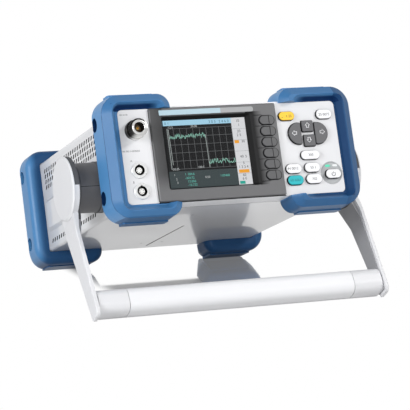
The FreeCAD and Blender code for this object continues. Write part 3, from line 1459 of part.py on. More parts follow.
def pivot_pins():
    """The two pins that the handle turns on, pressed into the handle and free in the drums."""
    pins = []
    for side in (-1, 1):
        pin = new_body("pivot_pin", None, HANDLE)
        turn(pin, [
            (side * d.pivot_start, 0),
            (side * d.pivot_start, d.pivot_radius - d.pivot_edge),
            (side * (d.pivot_start + d.pivot_edge), d.pivot_radius),
            (side * d.disc_end, d.pivot_radius),
            (side * d.disc_end, 0),
        ], "X")
        pins.append(pin)
    gather("pivot_pins", pins)


def draw_bar(sketch):
    """Draw the cross bar's rounded section."""
    half_wide, half_tall = d.bar_wide / 2, d.bar_tall / 2
    low, high = -d.bar_reach - half_tall, half_tall - d.bar_reach
    rounded(sketch, -half_wide, half_wide, low, high, d.bar_corner)


def handle_bar():
    """Middle grip of the handle."""
    body = new_body("handle_bar", None, HANDLE)
    section = new_sketch(body, "YZ", -d.grip_half)
    draw_bar(section)
    pad(body, section, 2 * d.grip_half)
    return finished(body)


def bar_ends():
    """End pieces that join the grip to the arms, each with a reduced tenon against the grip."""
    ends = []
    for side in (-1, 1):
        body = new_body("bar_end", None, HANDLE)
        section = new_sketch(body, "YZ", side * (d.grip_half + d.grip_seam))
        draw_bar(section)
        pad(body, section, d.liner_inner - d.grip_half - d.grip_seam, side)
        tenon = new_sketch(body, "YZ", side * d.grip_half)
        circle(tenon, 0, -d.bar_reach, d.bar_corner)
        pad(body, tenon, d.grip_seam, side)
        ends.append(body)
    gather("bar_ends", ends)


def chassis_tray():
    """Folded tray inside the sleeve."""
    body = new_body("chassis_tray")
    profile = new_sketch(body, "XZ", d.tray_front)
    wall = d.sheet_wall
    outline(profile, [
        (-d.tray_half, d.tray_low),
        (d.tray_half, d.tray_low),
        (d.tray_half, d.tray_wall),
        (d.tray_half - wall, d.tray_wall),
        (d.tray_half - wall, d.tray_low + wall),
        (wall - d.tray_half, d.tray_low + wall),
        (wall - d.tray_half, d.tray_wall),
        (-d.tray_half, d.tray_wall),
    ])
    pad(body, profile, d.tray_back - d.tray_front)
    return finished(body)


def side_rails():
    """Two bars that tie the front frame to the rear panel."""
    rails = []
    for side in (-1, 1):
        body = new_body("side_rail")
        section = new_sketch(body, "XZ", d.lip_back)
        near, far = side * d.rail_inner, side * d.rail_outer
        rectangle(section, min(near, far, key=number_of), max(near, far, key=number_of),
                  d.rail_low, d.rail_high)
        pad(body, section, d.rear_panel_front - d.lip_back)
        rails.append(body)
    gather("side_rails", rails)


def number_of(size):
    """The plain number of a size."""
    return size.number


def main_board():
    """Measuring board on four posts, with two screening cans."""
    body = new_body("main_board")
    plate = new_sketch(body, "XY", d.main_board_low)
    left, right = d.board_side - d.tray_half, d.supply_left - d.board_apart
    front, back = d.tray_front + d.board_front_gap, d.data_front - d.board_apart
    rectangle(plate, left, right, front, back)
    pad(body, plate, d.board_thick)
    posts = new_sketch(body, "XY", d.tray_low + d.sheet_wall)
    half = d.post_half
    for x in (left + d.post_inset, right - d.post_inset):
        for y in (front + d.post_inset, back - d.post_inset):
            rectangle(posts, x - half, x + half, y - half, y + half)
    pad(body, posts, d.main_board_low - d.tray_low - d.sheet_wall)
    cans = new_sketch(body, "XY", d.main_board_low + d.board_thick)
    split = left + d.can_split
    can_front, can_back = front + d.can_front, front + d.can_back
    rectangle(cans, left + d.can_inset, split, can_front, can_back)
    rectangle(cans, split + d.can_inset, right - d.can_inset, can_front, can_back)
    pad(body, cans, d.can_tall)
    return finished(body)


def power_supply():
    """Closed supply box on the tray."""
    body = new_body("power_supply")
    base = new_sketch(body, "XY", d.tray_low + d.sheet_wall)
    rectangle(base, d.supply_left, d.supply_right, d.supply_front, d.supply_back)
    pad(body, base, d.supply_high - d.tray_low - d.sheet_wall)
    return finished(body)


def rear_panel():
    """Rear plate with the fan grille and the holes for the rear connectors."""
    body = new_body("rear_panel")
    plate = new_sketch(body, "XZ", d.rear_panel_front)
    inset = d.sheet_wall + d.slide_gap
    left, right = inset - d.case_half, d.case_half - inset
    rounded(plate, left, right, d.case_low + inset, d.case_high - inset, d.case_corner - inset)
    gap = d.hole_gap
    core_left, core_right, core_low, core_high = inlet_core()
    rectangle(plate, core_left - gap, core_right + gap, core_low - gap, core_high + gap)
    for index in range(2):
        circle(plate, d.bnc_x - index * d.bnc_pitch, d.bnc_z, d.bnc_tail_radius + gap)
    for name in ("network", "serial"):
        x = getattr(d, name + "_x")
        wide, tall = getattr(d, name + "_wide") + gap, getattr(d, name + "_tall") + gap
        rectangle(plate, x - wide, x + wide, d.data_z - tall, d.data_z + tall)
    pad(body, plate, d.rear_panel_back - d.rear_panel_front)
    slot = new_sketch(body, "XZ", d.rear_panel_front)
    reach, half = d.grille_reach, d.grille_half
    lowest = d.fan_z - d.grille_pitch * (GRILLE_SLOTS - 1) / 2
    rectangle(slot, d.fan_x - reach, d.fan_x + reach, lowest - half, lowest + half)
    cut = pocket(body, slot, d.rear_panel_back - d.rear_panel_front)
    repeat(body, cut, "Z", d.grille_pitch, GRILLE_SLOTS)
    return finished(body)


def inlet_core():
    """Left, right, lower and upper side of the mains inlet behind its flange."""
    half = d.inlet_wide / 2 + d.inlet_wall
    low = d.inlet_z - d.inlet_tall / 2 - d.inlet_wall
    high = d.drawer_z + d.drawer_tall / 2 + d.inlet_wall
    return d.inlet_x - half, d.inlet_x + half, low, high


def drawer_sides(margin):
    """Left, right, lower and upper side of the fuse drawer, grown by a margin."""
    half_wide, half_tall = d.drawer_wide / 2 + margin, d.drawer_tall / 2 + margin
    return d.inlet_x - half_wide, d.inlet_x + half_wide, d.drawer_z - half_tall, d.drawer_z + half_tall


def mains_inlet():
    """Moulded mains inlet with its sunk socket, three flat blades and the shaft of the fuse drawer."""
    body = new_body("inlet_body")
    left, right, low, high = inlet_core()
    core = new_sketch(body, "XZ", d.inlet_back)
    rectangle(core, left, right, low, high)
    pad(body, core, d.rear_panel_back - d.inlet_back)
    rim = d.inlet_rim
    flange = new_sketch(body, "XZ", d.rear_panel_back)
    rounded(flange, left - rim, right + rim, low - rim, high + rim, d.inlet_edge)
    pad(body, flange, d.inlet_face - d.rear_panel_back)
    socket = new_sketch(body, "XZ", d.inlet_face)
    half_wide, half_tall = d.inlet_wide / 2, d.inlet_tall / 2
    rounded(
        socket,
        d.inlet_x - half_wide,
        d.inlet_x + half_wide,
        d.inlet_z - half_tall,
        d.inlet_z + half_tall,
        d.inlet_corner,
    )
    pocket(body, socket, d.inlet_deep, -1)
    shaft = new_sketch(body, "XZ", d.inlet_face)
    rectangle(shaft, *drawer_sides(d.drawer_gap))
    pocket(body, shaft, d.drawer_deep + d.drawer_room, -1)
    pieces = [body]
    places = (
        (-d.contact_side, -d.contact_drop),
        (d.contact_side, -d.contact_drop),
        (as_size(0), d.contact_rise),
    )
    half_wide, half_tall = d.contact_half_wide, d.contact_half_tall
    for x, z in places:
        blade = new_body("inlet_blade")
        section = new_sketch(blade, "XZ", d.inlet_face - d.inlet_deep)
        middle, level = d.inlet_x + x, d.inlet_z + z
        rectangle(
            section, middle - half_wide, middle + half_wide, level - half_tall, level + half_tall
        )
        pad(blade, section, d.inlet_deep - d.contact_short)
        pieces.append(blade)
    gather("mains_inlet", pieces)


def fuse_drawer():
    """Pull-out drawer for the mains fuses, with a finger lip and two fuse troughs."""
    body = new_body("fuse_drawer")
    left, right, low, high = drawer_sides(as_size(0))
    block = new_sketch(body, "XZ", d.inlet_face - d.drawer_deep)
    rectangle(block, left, right, low, high)
    pad(body, block, d.drawer_deep + d.drawer_lip)
    trough = new_sketch(body, "XY", high)
    wall = d.trough_wall
    back = d.inlet_face - wall
    rectangle(trough, left + wall, d.inlet_x - d.trough_split, back - d.trough_long, back)
    rectangle(trough, d.inlet_x + d.trough_split, right - wall, back - d.trough_long, back)
    pocket(body, trough, d.drawer_tall - wall, -1)
    return finished(body)


def bnc_jacks():
    """Two rear coaxial jacks with a flange, a plain barrel and a centre contact."""
    jacks = []
    for index in range(2):
        centre = (values["bnc_x"] - index * values["bnc_pitch"], 0, values["bnc_z"])
        body = new_body("bnc_jack", centre)
        turn(body, [
            (0, d.bnc_front),
            (d.bnc_tail_radius, d.bnc_front),
            (d.bnc_tail_radius, d.rear_panel_back),
            (d.bnc_flange_radius, d.rear_panel_back),
            (d.bnc_flange_radius, d.bnc_flange_back),
            (d.bnc_radius, d.bnc_flange_back),
            (d.bnc_radius, d.bnc_end),
            (d.bnc_bore, d.bnc_end),
            (d.bnc_bore, d.bnc_floor),
            (d.bnc_pin_radius, d.bnc_floor),
            (d.bnc_pin_radius, d.bnc_pin_end),
            (0, d.bnc_pin_end),
        ])
        jacks.append(body)
    gather("bnc_jacks", jacks)


def interface_sockets():
    """Metal-shelled network and serial data sockets."""
    sockets = []
    for name in ("network", "serial"):
        x, wide, tall, mouth_wide, mouth_tall, drop = [
            getattr(d, name + part)
            for part in ("_x", "_wide", "_tall", "_mouth_wide", "_mouth_tall", "_mouth_drop")
        ]
        body = new_body(name + "_socket")
        shell = new_sketch(body, "XZ", d.data_front)
        rectangle(shell, x - wide, x + wide, d.data_z - tall, d.data_z + tall)
        pad(body, shell, d.data_end - d.data_front)
        mouth = new_sketch(body, "XZ", d.data_end)
        level = d.data_z - drop
        rectangle(mouth, x - mouth_wide, x + mouth_wide, level - mouth_tall, level + mouth_tall)
        pocket(body, mouth, d.data_mouth_deep, -1)
        sockets.append(body)
    gather("interface_sockets", sockets)


def fan():
    """Axial fan behind the rear grille: square frame with struts and shaft, and a bladed rotor."""
    centre = (values["fan_x"], values["rear_panel_front"] - values["fan_deep"], values["fan_z"])
    frame = new_body("fan_frame", centre)
    square = new_sketch(frame, "XZ", 0)
    rounded(square, -d.fan_half, d.fan_half, -d.fan_half, d.fan_half, d.fan_corner)
    circle(square, 0, 0, d.fan_bore)
    pad(frame, square, d.fan_deep)
    reach, half = d.fan_bore + d.strut_root, d.strut_half
    for across, along in ((reach, half), (half, reach)):
        strut = new_sketch(frame, "XZ", 0)
        rectangle(strut, -across, across, -along, along)
        pad(frame, strut, d.strut_deep)
    for radius, length in ((d.motor_radius, d.motor_deep), (d.fan_pin, d.fan_pin_end)):
        seat = new_sketch(frame, "XZ", 0)
        circle(seat, 0, 0, radius)
        pad(frame, seat, length)
    finished(frame)
    rotor = new_body("fan_rotor", centre)
    bore = d.fan_pin + d.fan_pin_gap
    turn(rotor, [
        (bore, d.rotor_start),
        (d.rotor_hub, d.rotor_start),
        (d.rotor_hub, d.rotor_end),
        (0, d.rotor_end),
        (0, d.rotor_floor),
        (bore, d.rotor_floor),
    ])
    blade = new_sketch(rotor, "YZ", d.rotor_hub - d.blade_root)
    outline(blade, [
        (d.blade_start, -d.blade_rise),
        (d.blade_start + d.blade_thick, -d.blade_rise),
        (d.blade_end + d.blade_thick, d.blade_rise),
        (d.blade_end, d.blade_rise),
    ])
    first = pad(rotor, blade, d.blade_tip - d.rotor_hub + d.blade_root)
    ring = rotor.newObject("PartDesign::PolarPattern", "fan_blades")
    ring.Originals = [first]
    ring.Axis = (origin_feature(rotor, "Y_Axis"), [""])
    ring.Angle = 360
    ring.Occurrences = FAN_BLADES
    rotor.Tip = ring
    finished(rotor)


def case_screws():
    """Four screws of the rear panel."""
    screws = []
    for side in (-1, 1):
        for level in ("case_screw_low", "case_screw_high"):
            body = new_body("case_screw", (side * values["case_screw_x"], 0, values[level]))
            head = new_sketch(body, "XZ", d.rear_panel_back)
            circle(head, 0, 0, d.case_screw_radius)
            pad(body, head, d.case_screw_tall)
            screws.append(body)
    gather("case_screws", screws)


def write_out():
    """Check every object, then write one file per sub-part."""
    doc.recompute()
    for thing in doc.Objects:
        if any(word in thing.State for word in ("Invalid", "Error")):
            raise RuntimeError(f"{thing.Name} is {thing.State}")
    triangles = 0
    for part in subparts:
        if part.Shape.isNull() or not part.Shape.isValid():
            raise RuntimeError(part.Label + " has no valid shape")
        triangles += len(part.Shape.tessellate(0.1)[1])
        part.Shape.exportStep(f"parts/{part.Label}.step")
    whole = Part.makeCompound([part.Shape for part in subparts]).optimalBoundingBox(False)
    print("sub-parts", len(subparts), "triangles", triangles)
    print("box", [round(side, 2) for side in (whole.XMin, whole.XMax, whole.YMin, whole.YMax)])
    print("height", round(whole.ZMin, 2), round(whole.ZMax, 2), "handle angle", round(HANDLE_ANGLE, 3))


cabinet_sleeve()
front_frame()
front_panel()
display_bezel()
display_window()
display_module()
softkeys()
panel_keys()
power_key_dish()
status_lenses()
keypad_mat()
front_board()
rf_jack()
sensor_sockets()
front_guard("front_guard_left", -1, d.horn_left)
front_guard("front_guard_right", 1, d.horn_right)
rear_guard("rear_guard_left", -1, d.rear_horn_left)
rear_guard("rear_guard_right", 1, d.rear_horn_right)
guard_screws()
for side_name, side_sign in (("left", -1), ("right", 1)):
    handle_liner("handle_liner_" + side_name, side_sign)
    handle_arm("handle_arm_" + side_name, side_sign)
hub_drums()
hub_caps()
pivot_pins()
handle_bar()
bar_ends()
chassis_tray()
side_rails()
main_board()
power_supply()
rear_panel()
mains_inlet()
fuse_drawer()
bnc_jacks()
interface_sockets()
fan()
case_screws()
write_out()
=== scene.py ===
import math
import random

import bpy
from mathutils import Matrix, Vector
from mathutils.geometry import convex_hull_2d


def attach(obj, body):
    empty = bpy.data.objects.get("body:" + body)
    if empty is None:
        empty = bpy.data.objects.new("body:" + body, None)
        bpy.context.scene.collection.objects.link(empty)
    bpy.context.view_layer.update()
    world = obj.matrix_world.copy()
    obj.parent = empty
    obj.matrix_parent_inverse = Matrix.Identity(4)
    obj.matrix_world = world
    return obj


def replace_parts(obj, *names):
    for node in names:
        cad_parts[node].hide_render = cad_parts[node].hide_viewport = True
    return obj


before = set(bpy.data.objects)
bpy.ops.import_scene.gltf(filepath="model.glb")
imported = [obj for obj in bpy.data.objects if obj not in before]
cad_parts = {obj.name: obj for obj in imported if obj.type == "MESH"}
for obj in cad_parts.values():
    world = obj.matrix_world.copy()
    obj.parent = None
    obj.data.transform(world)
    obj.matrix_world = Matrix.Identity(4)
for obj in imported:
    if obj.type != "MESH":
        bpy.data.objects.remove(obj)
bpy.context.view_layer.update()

# Studio: the photograph's viewpoint, three soft lights (key from the right, one low from the left,
# a fill from the front), a white sweep, and a floor that mirrors only in a patch under the unit.
bpy.ops.object.camera_add(
    location=(-0.7210, -1.7669, 0.37117),
    rotation=[math.radians(angle) for angle in (81.0746, -0.0695, -22.8016)],
)
camera = bpy.context.active_object
camera.name = "photo_camera"
camera.data.lens = 185.468
camera.data.sensor_width = 36
camera.data.clip_end = 20
bpy.context.scene.camera = camera
bpy.context.scene.view_settings.view_transform = "Standard"


def soft_light(name, place, target, size, watts, colour):
    """Square area light that faces its target."""
    bpy.ops.object.light_add(type="AREA", location=place)
    lamp = bpy.context.active_object
    lamp.name = name
    lamp.rotation_euler = (Vector(target) - Vector(place)).to_track_quat("-Z", "Y").to_euler()
    lamp.data.size = size
    lamp.data.energy = watts
    lamp.data.color = colour


unit_middle = (0, 0, 0.08)
soft_light("key_light", (1.25, -1.15, 1.35), unit_middle, 0.45, 16, (1, 0.99, 0.97))
soft_light("side_light", (-1.9, -0.8, 0.75), unit_middle, 0.7, 26, (0.97, 0.98, 1))
soft_light("front_light", (-0.5, -2.2, 0.5), unit_middle, 0.9, 15, (1, 1, 1))


def reckon(tree, operation, *values):
    """Math node whose inputs are numbers or outputs of other nodes."""
    node = tree.nodes.new("ShaderNodeMath")
    node.operation = operation
    for socket, value in zip(node.inputs, values):
        if isinstance(value, bpy.types.NodeSocket):
            tree.links.new(value, socket)
        else:
            socket.default_value = value
    return node.outputs[0]


def all_of(tree, *masks):
    """Product of masks or values."""
    product = masks[0]
    for mask in masks[1:]:
        product = reckon(tree, "MULTIPLY", product, mask)
    return product


def any_of(tree, *masks):
    """Largest of masks or values."""
    largest = masks[0]
    for mask in masks[1:]:
        largest = reckon(tree, "MAXIMUM", largest, mask)
    return largest


def ramp(tree, value, start, end, low=0, high=1, smooth=True):
    """Value carried from start and end to low and high, held beyond them."""
    node = tree.nodes.new("ShaderNodeMapRange")
    if smooth:
        node.interpolation_type = "SMOOTHSTEP"
    node.inputs["From Min"].default_value = start
    node.inputs["From Max"].default_value = end
    node.inputs["To Min"].default_value = low
    node.inputs["To Max"].default_value = high
    tree.links.new(value, node.inputs["Value"])
    return node.outputs["Result"]


world = bpy.data.worlds.new("white_sweep")
bpy.context.scene.world = world
world.use_nodes = True
nodes, links = world.node_tree.nodes, world.node_tree.links
ambient = nodes["Background"]
ambient.inputs["Color"].default_value = (0.93, 0.95, 1, 1)
ambient.inputs["Strength"].default_value = 0.33
paper = nodes.new("ShaderNodeBackground")
paper.inputs["Color"].default_value = (1, 1, 1, 1)
paper.inputs["Strength"].default_value = 1
ray = nodes.new("ShaderNodeLightPath")
heading = nodes.new("ShaderNodeTexCoord")
axes = nodes.new("ShaderNodeSeparateXYZ")
links.new(heading.outputs["Generated"], axes.inputs[0])
behind = ramp(world.node_tree, axes.outputs["Y"], -0.2, 0.5)
mirrored = all_of(world.node_tree, ray.outputs["Is Glossy Ray"], behind)
choice = nodes.new("ShaderNodeMixShader")
links.new(any_of(world.node_tree, ray.outputs["Is Camera Ray"], mirrored), choice.inputs["Fac"])
links.new(ambient.outputs[0], choice.inputs[1])
links.new(paper.outputs[0], choice.inputs[2])
links.new(choice.outputs[0], nodes["World Output"].inputs["Surface"])

bpy.ops.mesh.primitive_plane_add(size=12, location=(0, 2, 0))
floor = bpy.context.active_object
floor.name = "floor"
finish = bpy.data.materials.new("polished_white_floor")
finish.use_nodes = True
floor_tree = finish.node_tree
nodes, links = floor_tree.nodes, floor_tree.links
place = nodes.new("ShaderNodeNewGeometry")
depth = nodes.new("ShaderNodeSeparateXYZ")
links.new(place.outputs["Position"], depth.inputs[0])
paint = nodes["Principled BSDF"]
paint.inputs["Roughness"].default_value = 0.9
links.new(ramp(floor_tree, depth.outputs["Y"], -0.3, 0, 0.95, 0.4), paint.inputs["Base Color"])
glow = nodes.new("ShaderNodeEmission")
glow.inputs["Color"].default_value = (1, 1, 1, 1)
mirror = nodes.new("ShaderNodeBsdfGlossy")
mirror.inputs["Color"].default_value = (1, 1, 1, 1)
mirror.inputs["Roughness"].default_value = 0.06
behind = ramp(floor_tree, depth.outputs["Y"], -0.128, -0.112)
beside = ramp(floor_tree, depth.outputs["X"], -0.085, -0.066, high=0.85)
span = nodes.new("ShaderNodeVectorMath")
span.operation = "LENGTH"
links.new(place.outputs["Position"], span.inputs[0])
near = ramp(floor_tree, span.outputs["Value"], 0.34, 0.2)
sheen = nodes.new("ShaderNodeMixShader")
links.new(all_of(floor_tree, behind, beside, near), sheen.inputs["Fac"])
links.new(glow.outputs[0], sheen.inputs[1])
links.new(mirror.outputs[0], sheen.inputs[2])
ray = nodes.new("ShaderNodeLightPath")
shown = any_of(floor_tree, ray.outputs["Is Camera Ray"], ray.outputs["Is Glossy Ray"])
look = nodes.new("ShaderNodeMixShader")
links.new(shown, look.inputs["Fac"])
links.new(paint.outputs[0], look.inputs[1])
links.new(sheen.outputs[0], look.inputs[2])
links.new(look.outputs[0], nodes["Material Output"].inputs["Surface"])
floor.data.materials.append(finish)

# Shared surface effects: fine grain of a mould or of powder paint, and slow unevenness. They give
# out only values and normals, each material keeps its own shader.
grain = bpy.data.node_groups.new("surface_grain", "ShaderNodeTree")
for socket, kind, start in (
    ("Size", "NodeSocketFloat", 900),
    ("Height", "NodeSocketFloat", 0.3),
):
    entry = grain.interface.new_socket(name=socket, in_out="INPUT", socket_type=kind)
    entry.default_value = start
grain.interface.new_socket(name="Normal", in_out="OUTPUT", socket_type="NodeSocketVector")
grain.interface.new_socket(name="Speckle", in_out="OUTPUT", socket_type="NodeSocketFloat")
grain.interface.new_socket(name="Cloud", in_out="OUTPUT", socket_type="NodeSocketFloat")
nodes, links = grain.nodes, grain.links
entry = nodes.new("NodeGroupInput")
leave = nodes.new("NodeGroupOutput")
place = nodes.new("ShaderNodeTexCoord")
fine = nodes.new("ShaderNodeTexNoise")
fine.inputs["Detail"].default_value = 3
links.new(place.outputs["Object"], fine.inputs["Vector"])
links.new(entry.outputs["Size"], fine.inputs["Scale"])
relief = nodes.new("ShaderNodeBump")
relief.inputs["Distance"].default_value = 0.0001
links.new(entry.outputs["Height"], relief.inputs["Strength"])
links.new(fine.outputs["Fac"], relief.inputs["Height"])
slow = nodes.new("ShaderNodeTexNoise")
slow.inputs["Scale"].default_value = 24
slow.inputs["Detail"].default_value = 2
links.new(place.outputs["Object"], slow.inputs["Vector"])
links.new(relief.outputs["Normal"], leave.inputs["Normal"])
links.new(fine.outputs["Fac"], leave.inputs["Speckle"])
links.new(slow.outputs["Fac"], leave.inputs["Cloud"])


# Corner guards: four moulded shells of tough blue plastic, satin with a fine eroded grain, screwed
# to the case through their sunk side wells. Where the photograph shows shade, the blue is deeper.
lean_angle = math.radians(19.7)
lean_shift = (0, -0.1392, 0.254 * math.sin(lean_angle))


def upright(tree):
    """X, Y and Z outputs in millimetres of the upright unit, for a surface that leans with the case."""
    place = tree.nodes.new("ShaderNodeTexCoord")
    shift = tree.nodes.new("ShaderNodeVectorMath")
    shift.operation = "SUBTRACT"
    shift.inputs[1].default_value = lean_shift
    straight = tree.nodes.new("ShaderNodeVectorRotate")
    straight.rotation_type = "X_AXIS"
    straight.inputs["Angle"].default_value = lean_angle
    enlarge = tree.nodes.new("ShaderNodeVectorMath")
    enlarge.operation = "SCALE"
    enlarge.inputs["Scale"].default_value = 1000
    parts = tree.nodes.new("ShaderNodeSeparateXYZ")
    tree.links.new(place.outputs["Object"], shift.inputs[0])
    tree.links.new(shift.outputs[0], straight.inputs["Vector"])
    tree.links.new(straight.outputs[0], enlarge.inputs[0])
    tree.links.new(enlarge.outputs[0], parts.inputs[0])
    return parts.outputs["X"], parts.outputs["Y"], parts.outputs["Z"]


def mask_group(name, build):
    """Node group whose one output is a mask made from the upright coordinates."""
    tree = bpy.data.node_groups.new(name, "ShaderNodeTree")
    tree.interface.new_socket(name="Mask", in_out="OUTPUT", socket_type="NodeSocketFloat")
    leave = tree.nodes.new("NodeGroupOutput")
    tree.links.new(build(tree, *upright(tree)), leave.inputs["Mask"])
    return name


def offset(tree, value, middle):
    """Distance from a middle."""
    return reckon(tree, "ABSOLUTE", reckon(tree, "SUBTRACT", value, middle))


def nearest(tree, value, places):
    """Distance from the nearer of two places, below 0 between them."""
    first, second = places
    return reckon(tree, "SUBTRACT", offset(tree, value, (first + second) / 2), (second - first) / 2)


def within(tree, value, middle, half):
    """1 where a value is less than half away from the middle."""
    return reckon(tree, "LESS_THAN", offset(tree, value, middle), half)


def radius_of(tree, across, rise):
    """Length of a line with these two legs."""
    squares = reckon(tree, "ADD", all_of(tree, across, across), all_of(tree, rise, rise))
    return reckon(tree, "POWER", squares, 0.5)


def coated(name, colour, roughness, grain_size, grain_height, speckle, metallic=0, coat=0,
           mask=None, masked=None):
    """Material of a moulded, painted or plated surface: fine grain, slight change of tone and gloss.

    Where the mask group gives 1, the colour is the masked one and the surface hardly shines.
    """
    material = bpy.data.materials.new(name)
    material.use_nodes = True
    tree = material.node_tree
    nodes, links = tree.nodes, tree.links
    shader = nodes["Principled BSDF"]
    shader.inputs["Metallic"].default_value = metallic
    shader.inputs["Coat Weight"].default_value = coat
    surface = nodes.new("ShaderNodeGroup")
    surface.node_tree = bpy.data.node_groups["surface_grain"]
    surface.inputs["Size"].default_value = grain_size
    surface.inputs["Height"].default_value = grain_height
    links.new(surface.outputs["Normal"], shader.inputs["Normal"])
    tone = ramp(tree, surface.outputs["Speckle"], 0, 1, 1 - speckle, 1 + speckle, smooth=False)
    shade = nodes.new("ShaderNodeMix")
    shade.data_type = "RGBA"
    shade.blend_type = "MULTIPLY"
    shade.inputs["Factor"].default_value = 1
    shade.inputs["A"].default_value = (*colour, 1)
    links.new(tone, shade.inputs["B"])
    if mask:
        area = nodes.new("ShaderNodeGroup")
        area.node_tree = bpy.data.node_groups[mask]
        paint = nodes.new("ShaderNodeMix")
        paint.data_type = "RGBA"
        paint.inputs["A"].default_value = (*colour, 1)
        paint.inputs["B"].default_value = (*masked, 1)
        links.new(area.outputs["Mask"], paint.inputs["Factor"])
        shine = ramp(tree, area.outputs["Mask"], 0, 1, 0.5, 0.06, smooth=False)
        links.new(shine, shader.inputs["Specular IOR Level"])
        links.new(paint.outputs["Result"], shade.inputs["A"])
    links.new(shade.outputs["Result"], shader.inputs["Base Color"])
    gloss = ramp(tree, surface.outputs["Cloud"], 0, 1, roughness * 0.85, roughness * 1.15, smooth=False)
    links.new(gloss, shader.inputs["Roughness"])
    return material


def dress(material, *names):
    """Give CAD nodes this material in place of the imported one."""
    for name in names:
        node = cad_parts[name]
        node.data.materials.clear()
        node.data.materials.append(material)


screw_depths, screw_levels = (25.5, 240), (23.5, 87.2)


def guard_shade(tree, x, y, z):
    """Shade of the guards, 0 to 1, from their place on the unit."""
    side = reckon(tree, "ABSOLUTE", x)
    hole = radius_of(tree, nearest(tree, z, screw_levels), nearest(tree, y, screw_depths))
    inside_wells = all_of(
        tree,
        reckon(tree, "LESS_THAN", hole, 6.3),
        reckon(tree, "LESS_THAN", side, 115.8),
        reckon(tree, "LESS_THAN", y, 60),
    )
    ahead = reckon(tree, "LESS_THAN", y, 9)
    right = reckon(tree, "GREATER_THAN", x, 0)
    hollow = all_of(
        tree,
        reckon(tree, "LESS_THAN", side, 108.1),
        within(tree, z, 54.2, 46.5),
        ramp(tree, y, -0.3, 3, smooth=False),
        ahead,
        any_of(tree, reckon(tree, "GREATER_THAN", z, 94), all_of(tree, right, 0.85), 0.3),
        ramp(tree, side, 58, 74),
    )
    outside = reckon(tree, "GREATER_THAN", side, 112)
    rim = any_of(tree, outside, reckon(tree, "GREATER_THAN", offset(tree, z, 55), 50.5))
    line_behind_slope = all_of(tree, within(tree, y, 6, 0.6), rim, 0.6)
    right_guard = reckon(tree, "GREATER_THAN", x, 100)
    right_wall = all_of(
        tree,
        ramp(tree, x, 111.5, 107, high=0.9),
        within(tree, z, 54.2, 45.5),
        ahead,
        right_guard,
    )
    right_low = all_of(tree, reckon(tree, "LESS_THAN", z, 12), reckon(tree, "GREATER_THAN", x, 40), 0.6)
    under_pads = all_of(tree, reckon(tree, "LESS_THAN", z, 3), 0.6)
    front_faces = all_of(tree, reckon(tree, "LESS_THAN", y, 6), 0.38)
    beside_case = all_of(tree, ramp(tree, side, 115, 105, high=0.8), within(tree, y, 230, 19))
    return any_of(
        tree,
        inside_wells,
        hollow,
        line_behind_slope,
        right_wall,
        all_of(tree, right_guard, 0.7),
        right_low,
        under_pads,
        front_faces,
        beside_case,
    )


dress(
    coated("guard_plastic", (0.065, 0.235, 0.49), 0.42, 1400, 0.25, 0.05,
           mask=mask_group("guard_shade", guard_shade), masked=(0.004, 0.025, 0.09)),
    "front_guard_left",
    "front_guard_right",
    "rear_guard_left",
    "rear_guard_right",
)
dress(coated("screw_steel", (0.5, 0.5, 0.5), 0.3, 2500, 0.1, 0.05, 1), "guard_screws", "case_screws")

# Case: folded sheet steel with pale powder paint, the cast frame ring in the same colour and the
# rear plate behind it.
dress(coated("case_paint", (0.85, 0.85, 0.86), 0.4, 1800, 0.25, 0.03), "front_frame", "rear_panel")


def sleeve_inside_shade(tree, x, y, z):
    """1 on inner faces, slots, front edge and underside seam: painted shade, near black."""
    inner_skin = all_of(tree, within(tree, x, 0, 102.93), within(tree, z, 55, 38.5))
    front_edge = reckon(tree, "LESS_THAN", y, 32)
    seam = all_of(tree, within(tree, x, -5, 0.9), within(tree, y, 178, 51), reckon(tree, "LESS_THAN", z, 14))
    return any_of(tree, inner_skin, front_edge, seam)


# Its inner faces, slots, front edge and seam are painted near black: painted shade.
dress(coated("sleeve_paint", (0.74, 0.74, 0.75), 0.32, 1800, 0.2, 0.03, coat=0.6,
             mask=mask_group("sleeve_inside_shade", sleeve_inside_shade), masked=(0.01, 0.01, 0.01)), "cabinet_sleeve")
# Inner tray and side rails: near black, painted shade of the inside of the case.
dress(coated("tray_shade_black", (0.03, 0.03, 0.03), 0.5, 600, 0.1, 0.05), "chassis_tray", "side_rails")

# Front panel: plate with a pale satin lacquer, set in the frame ring, with holes for the keys and
# connectors.
dress(coated("panel_lacquer", (0.70, 0.70, 0.71), 0.45, 2600, 0.08, 0.015), "front_panel")

# Display surround: dark grey moulding with a fine matt grain, set in the opening of the panel, with
# a slanted recess for the screen.
def bezel_shade(tree, x, y, z):
    """Rises to 1 on the walls behind the face; darker also left and right of the screen."""
    walls = ramp(tree, y, 3.6, 5.2, smooth=False)
    left = all_of(tree, ramp(tree, x, -74, -63, 0.45, 0.65), reckon(tree, "LESS_THAN", x, -62),
                  ramp(tree, z, 20, 40))
    right = all_of(tree, ramp(tree, x, 30, 21.5, high=0.95, smooth=False), within(tree, z, 56, 32.5),
                   reckon(tree, "GREATER_THAN", x, 15))
    return any_of(tree, walls, left, right)


dress(coated("bezel_plastic", (0.125, 0.125, 0.128), 0.42, 2200, 0.2, 0.06,
             mask=mask_group("bezel_shade", bezel_shade), masked=(0.008, 0.008, 0.008)), "display_bezel")

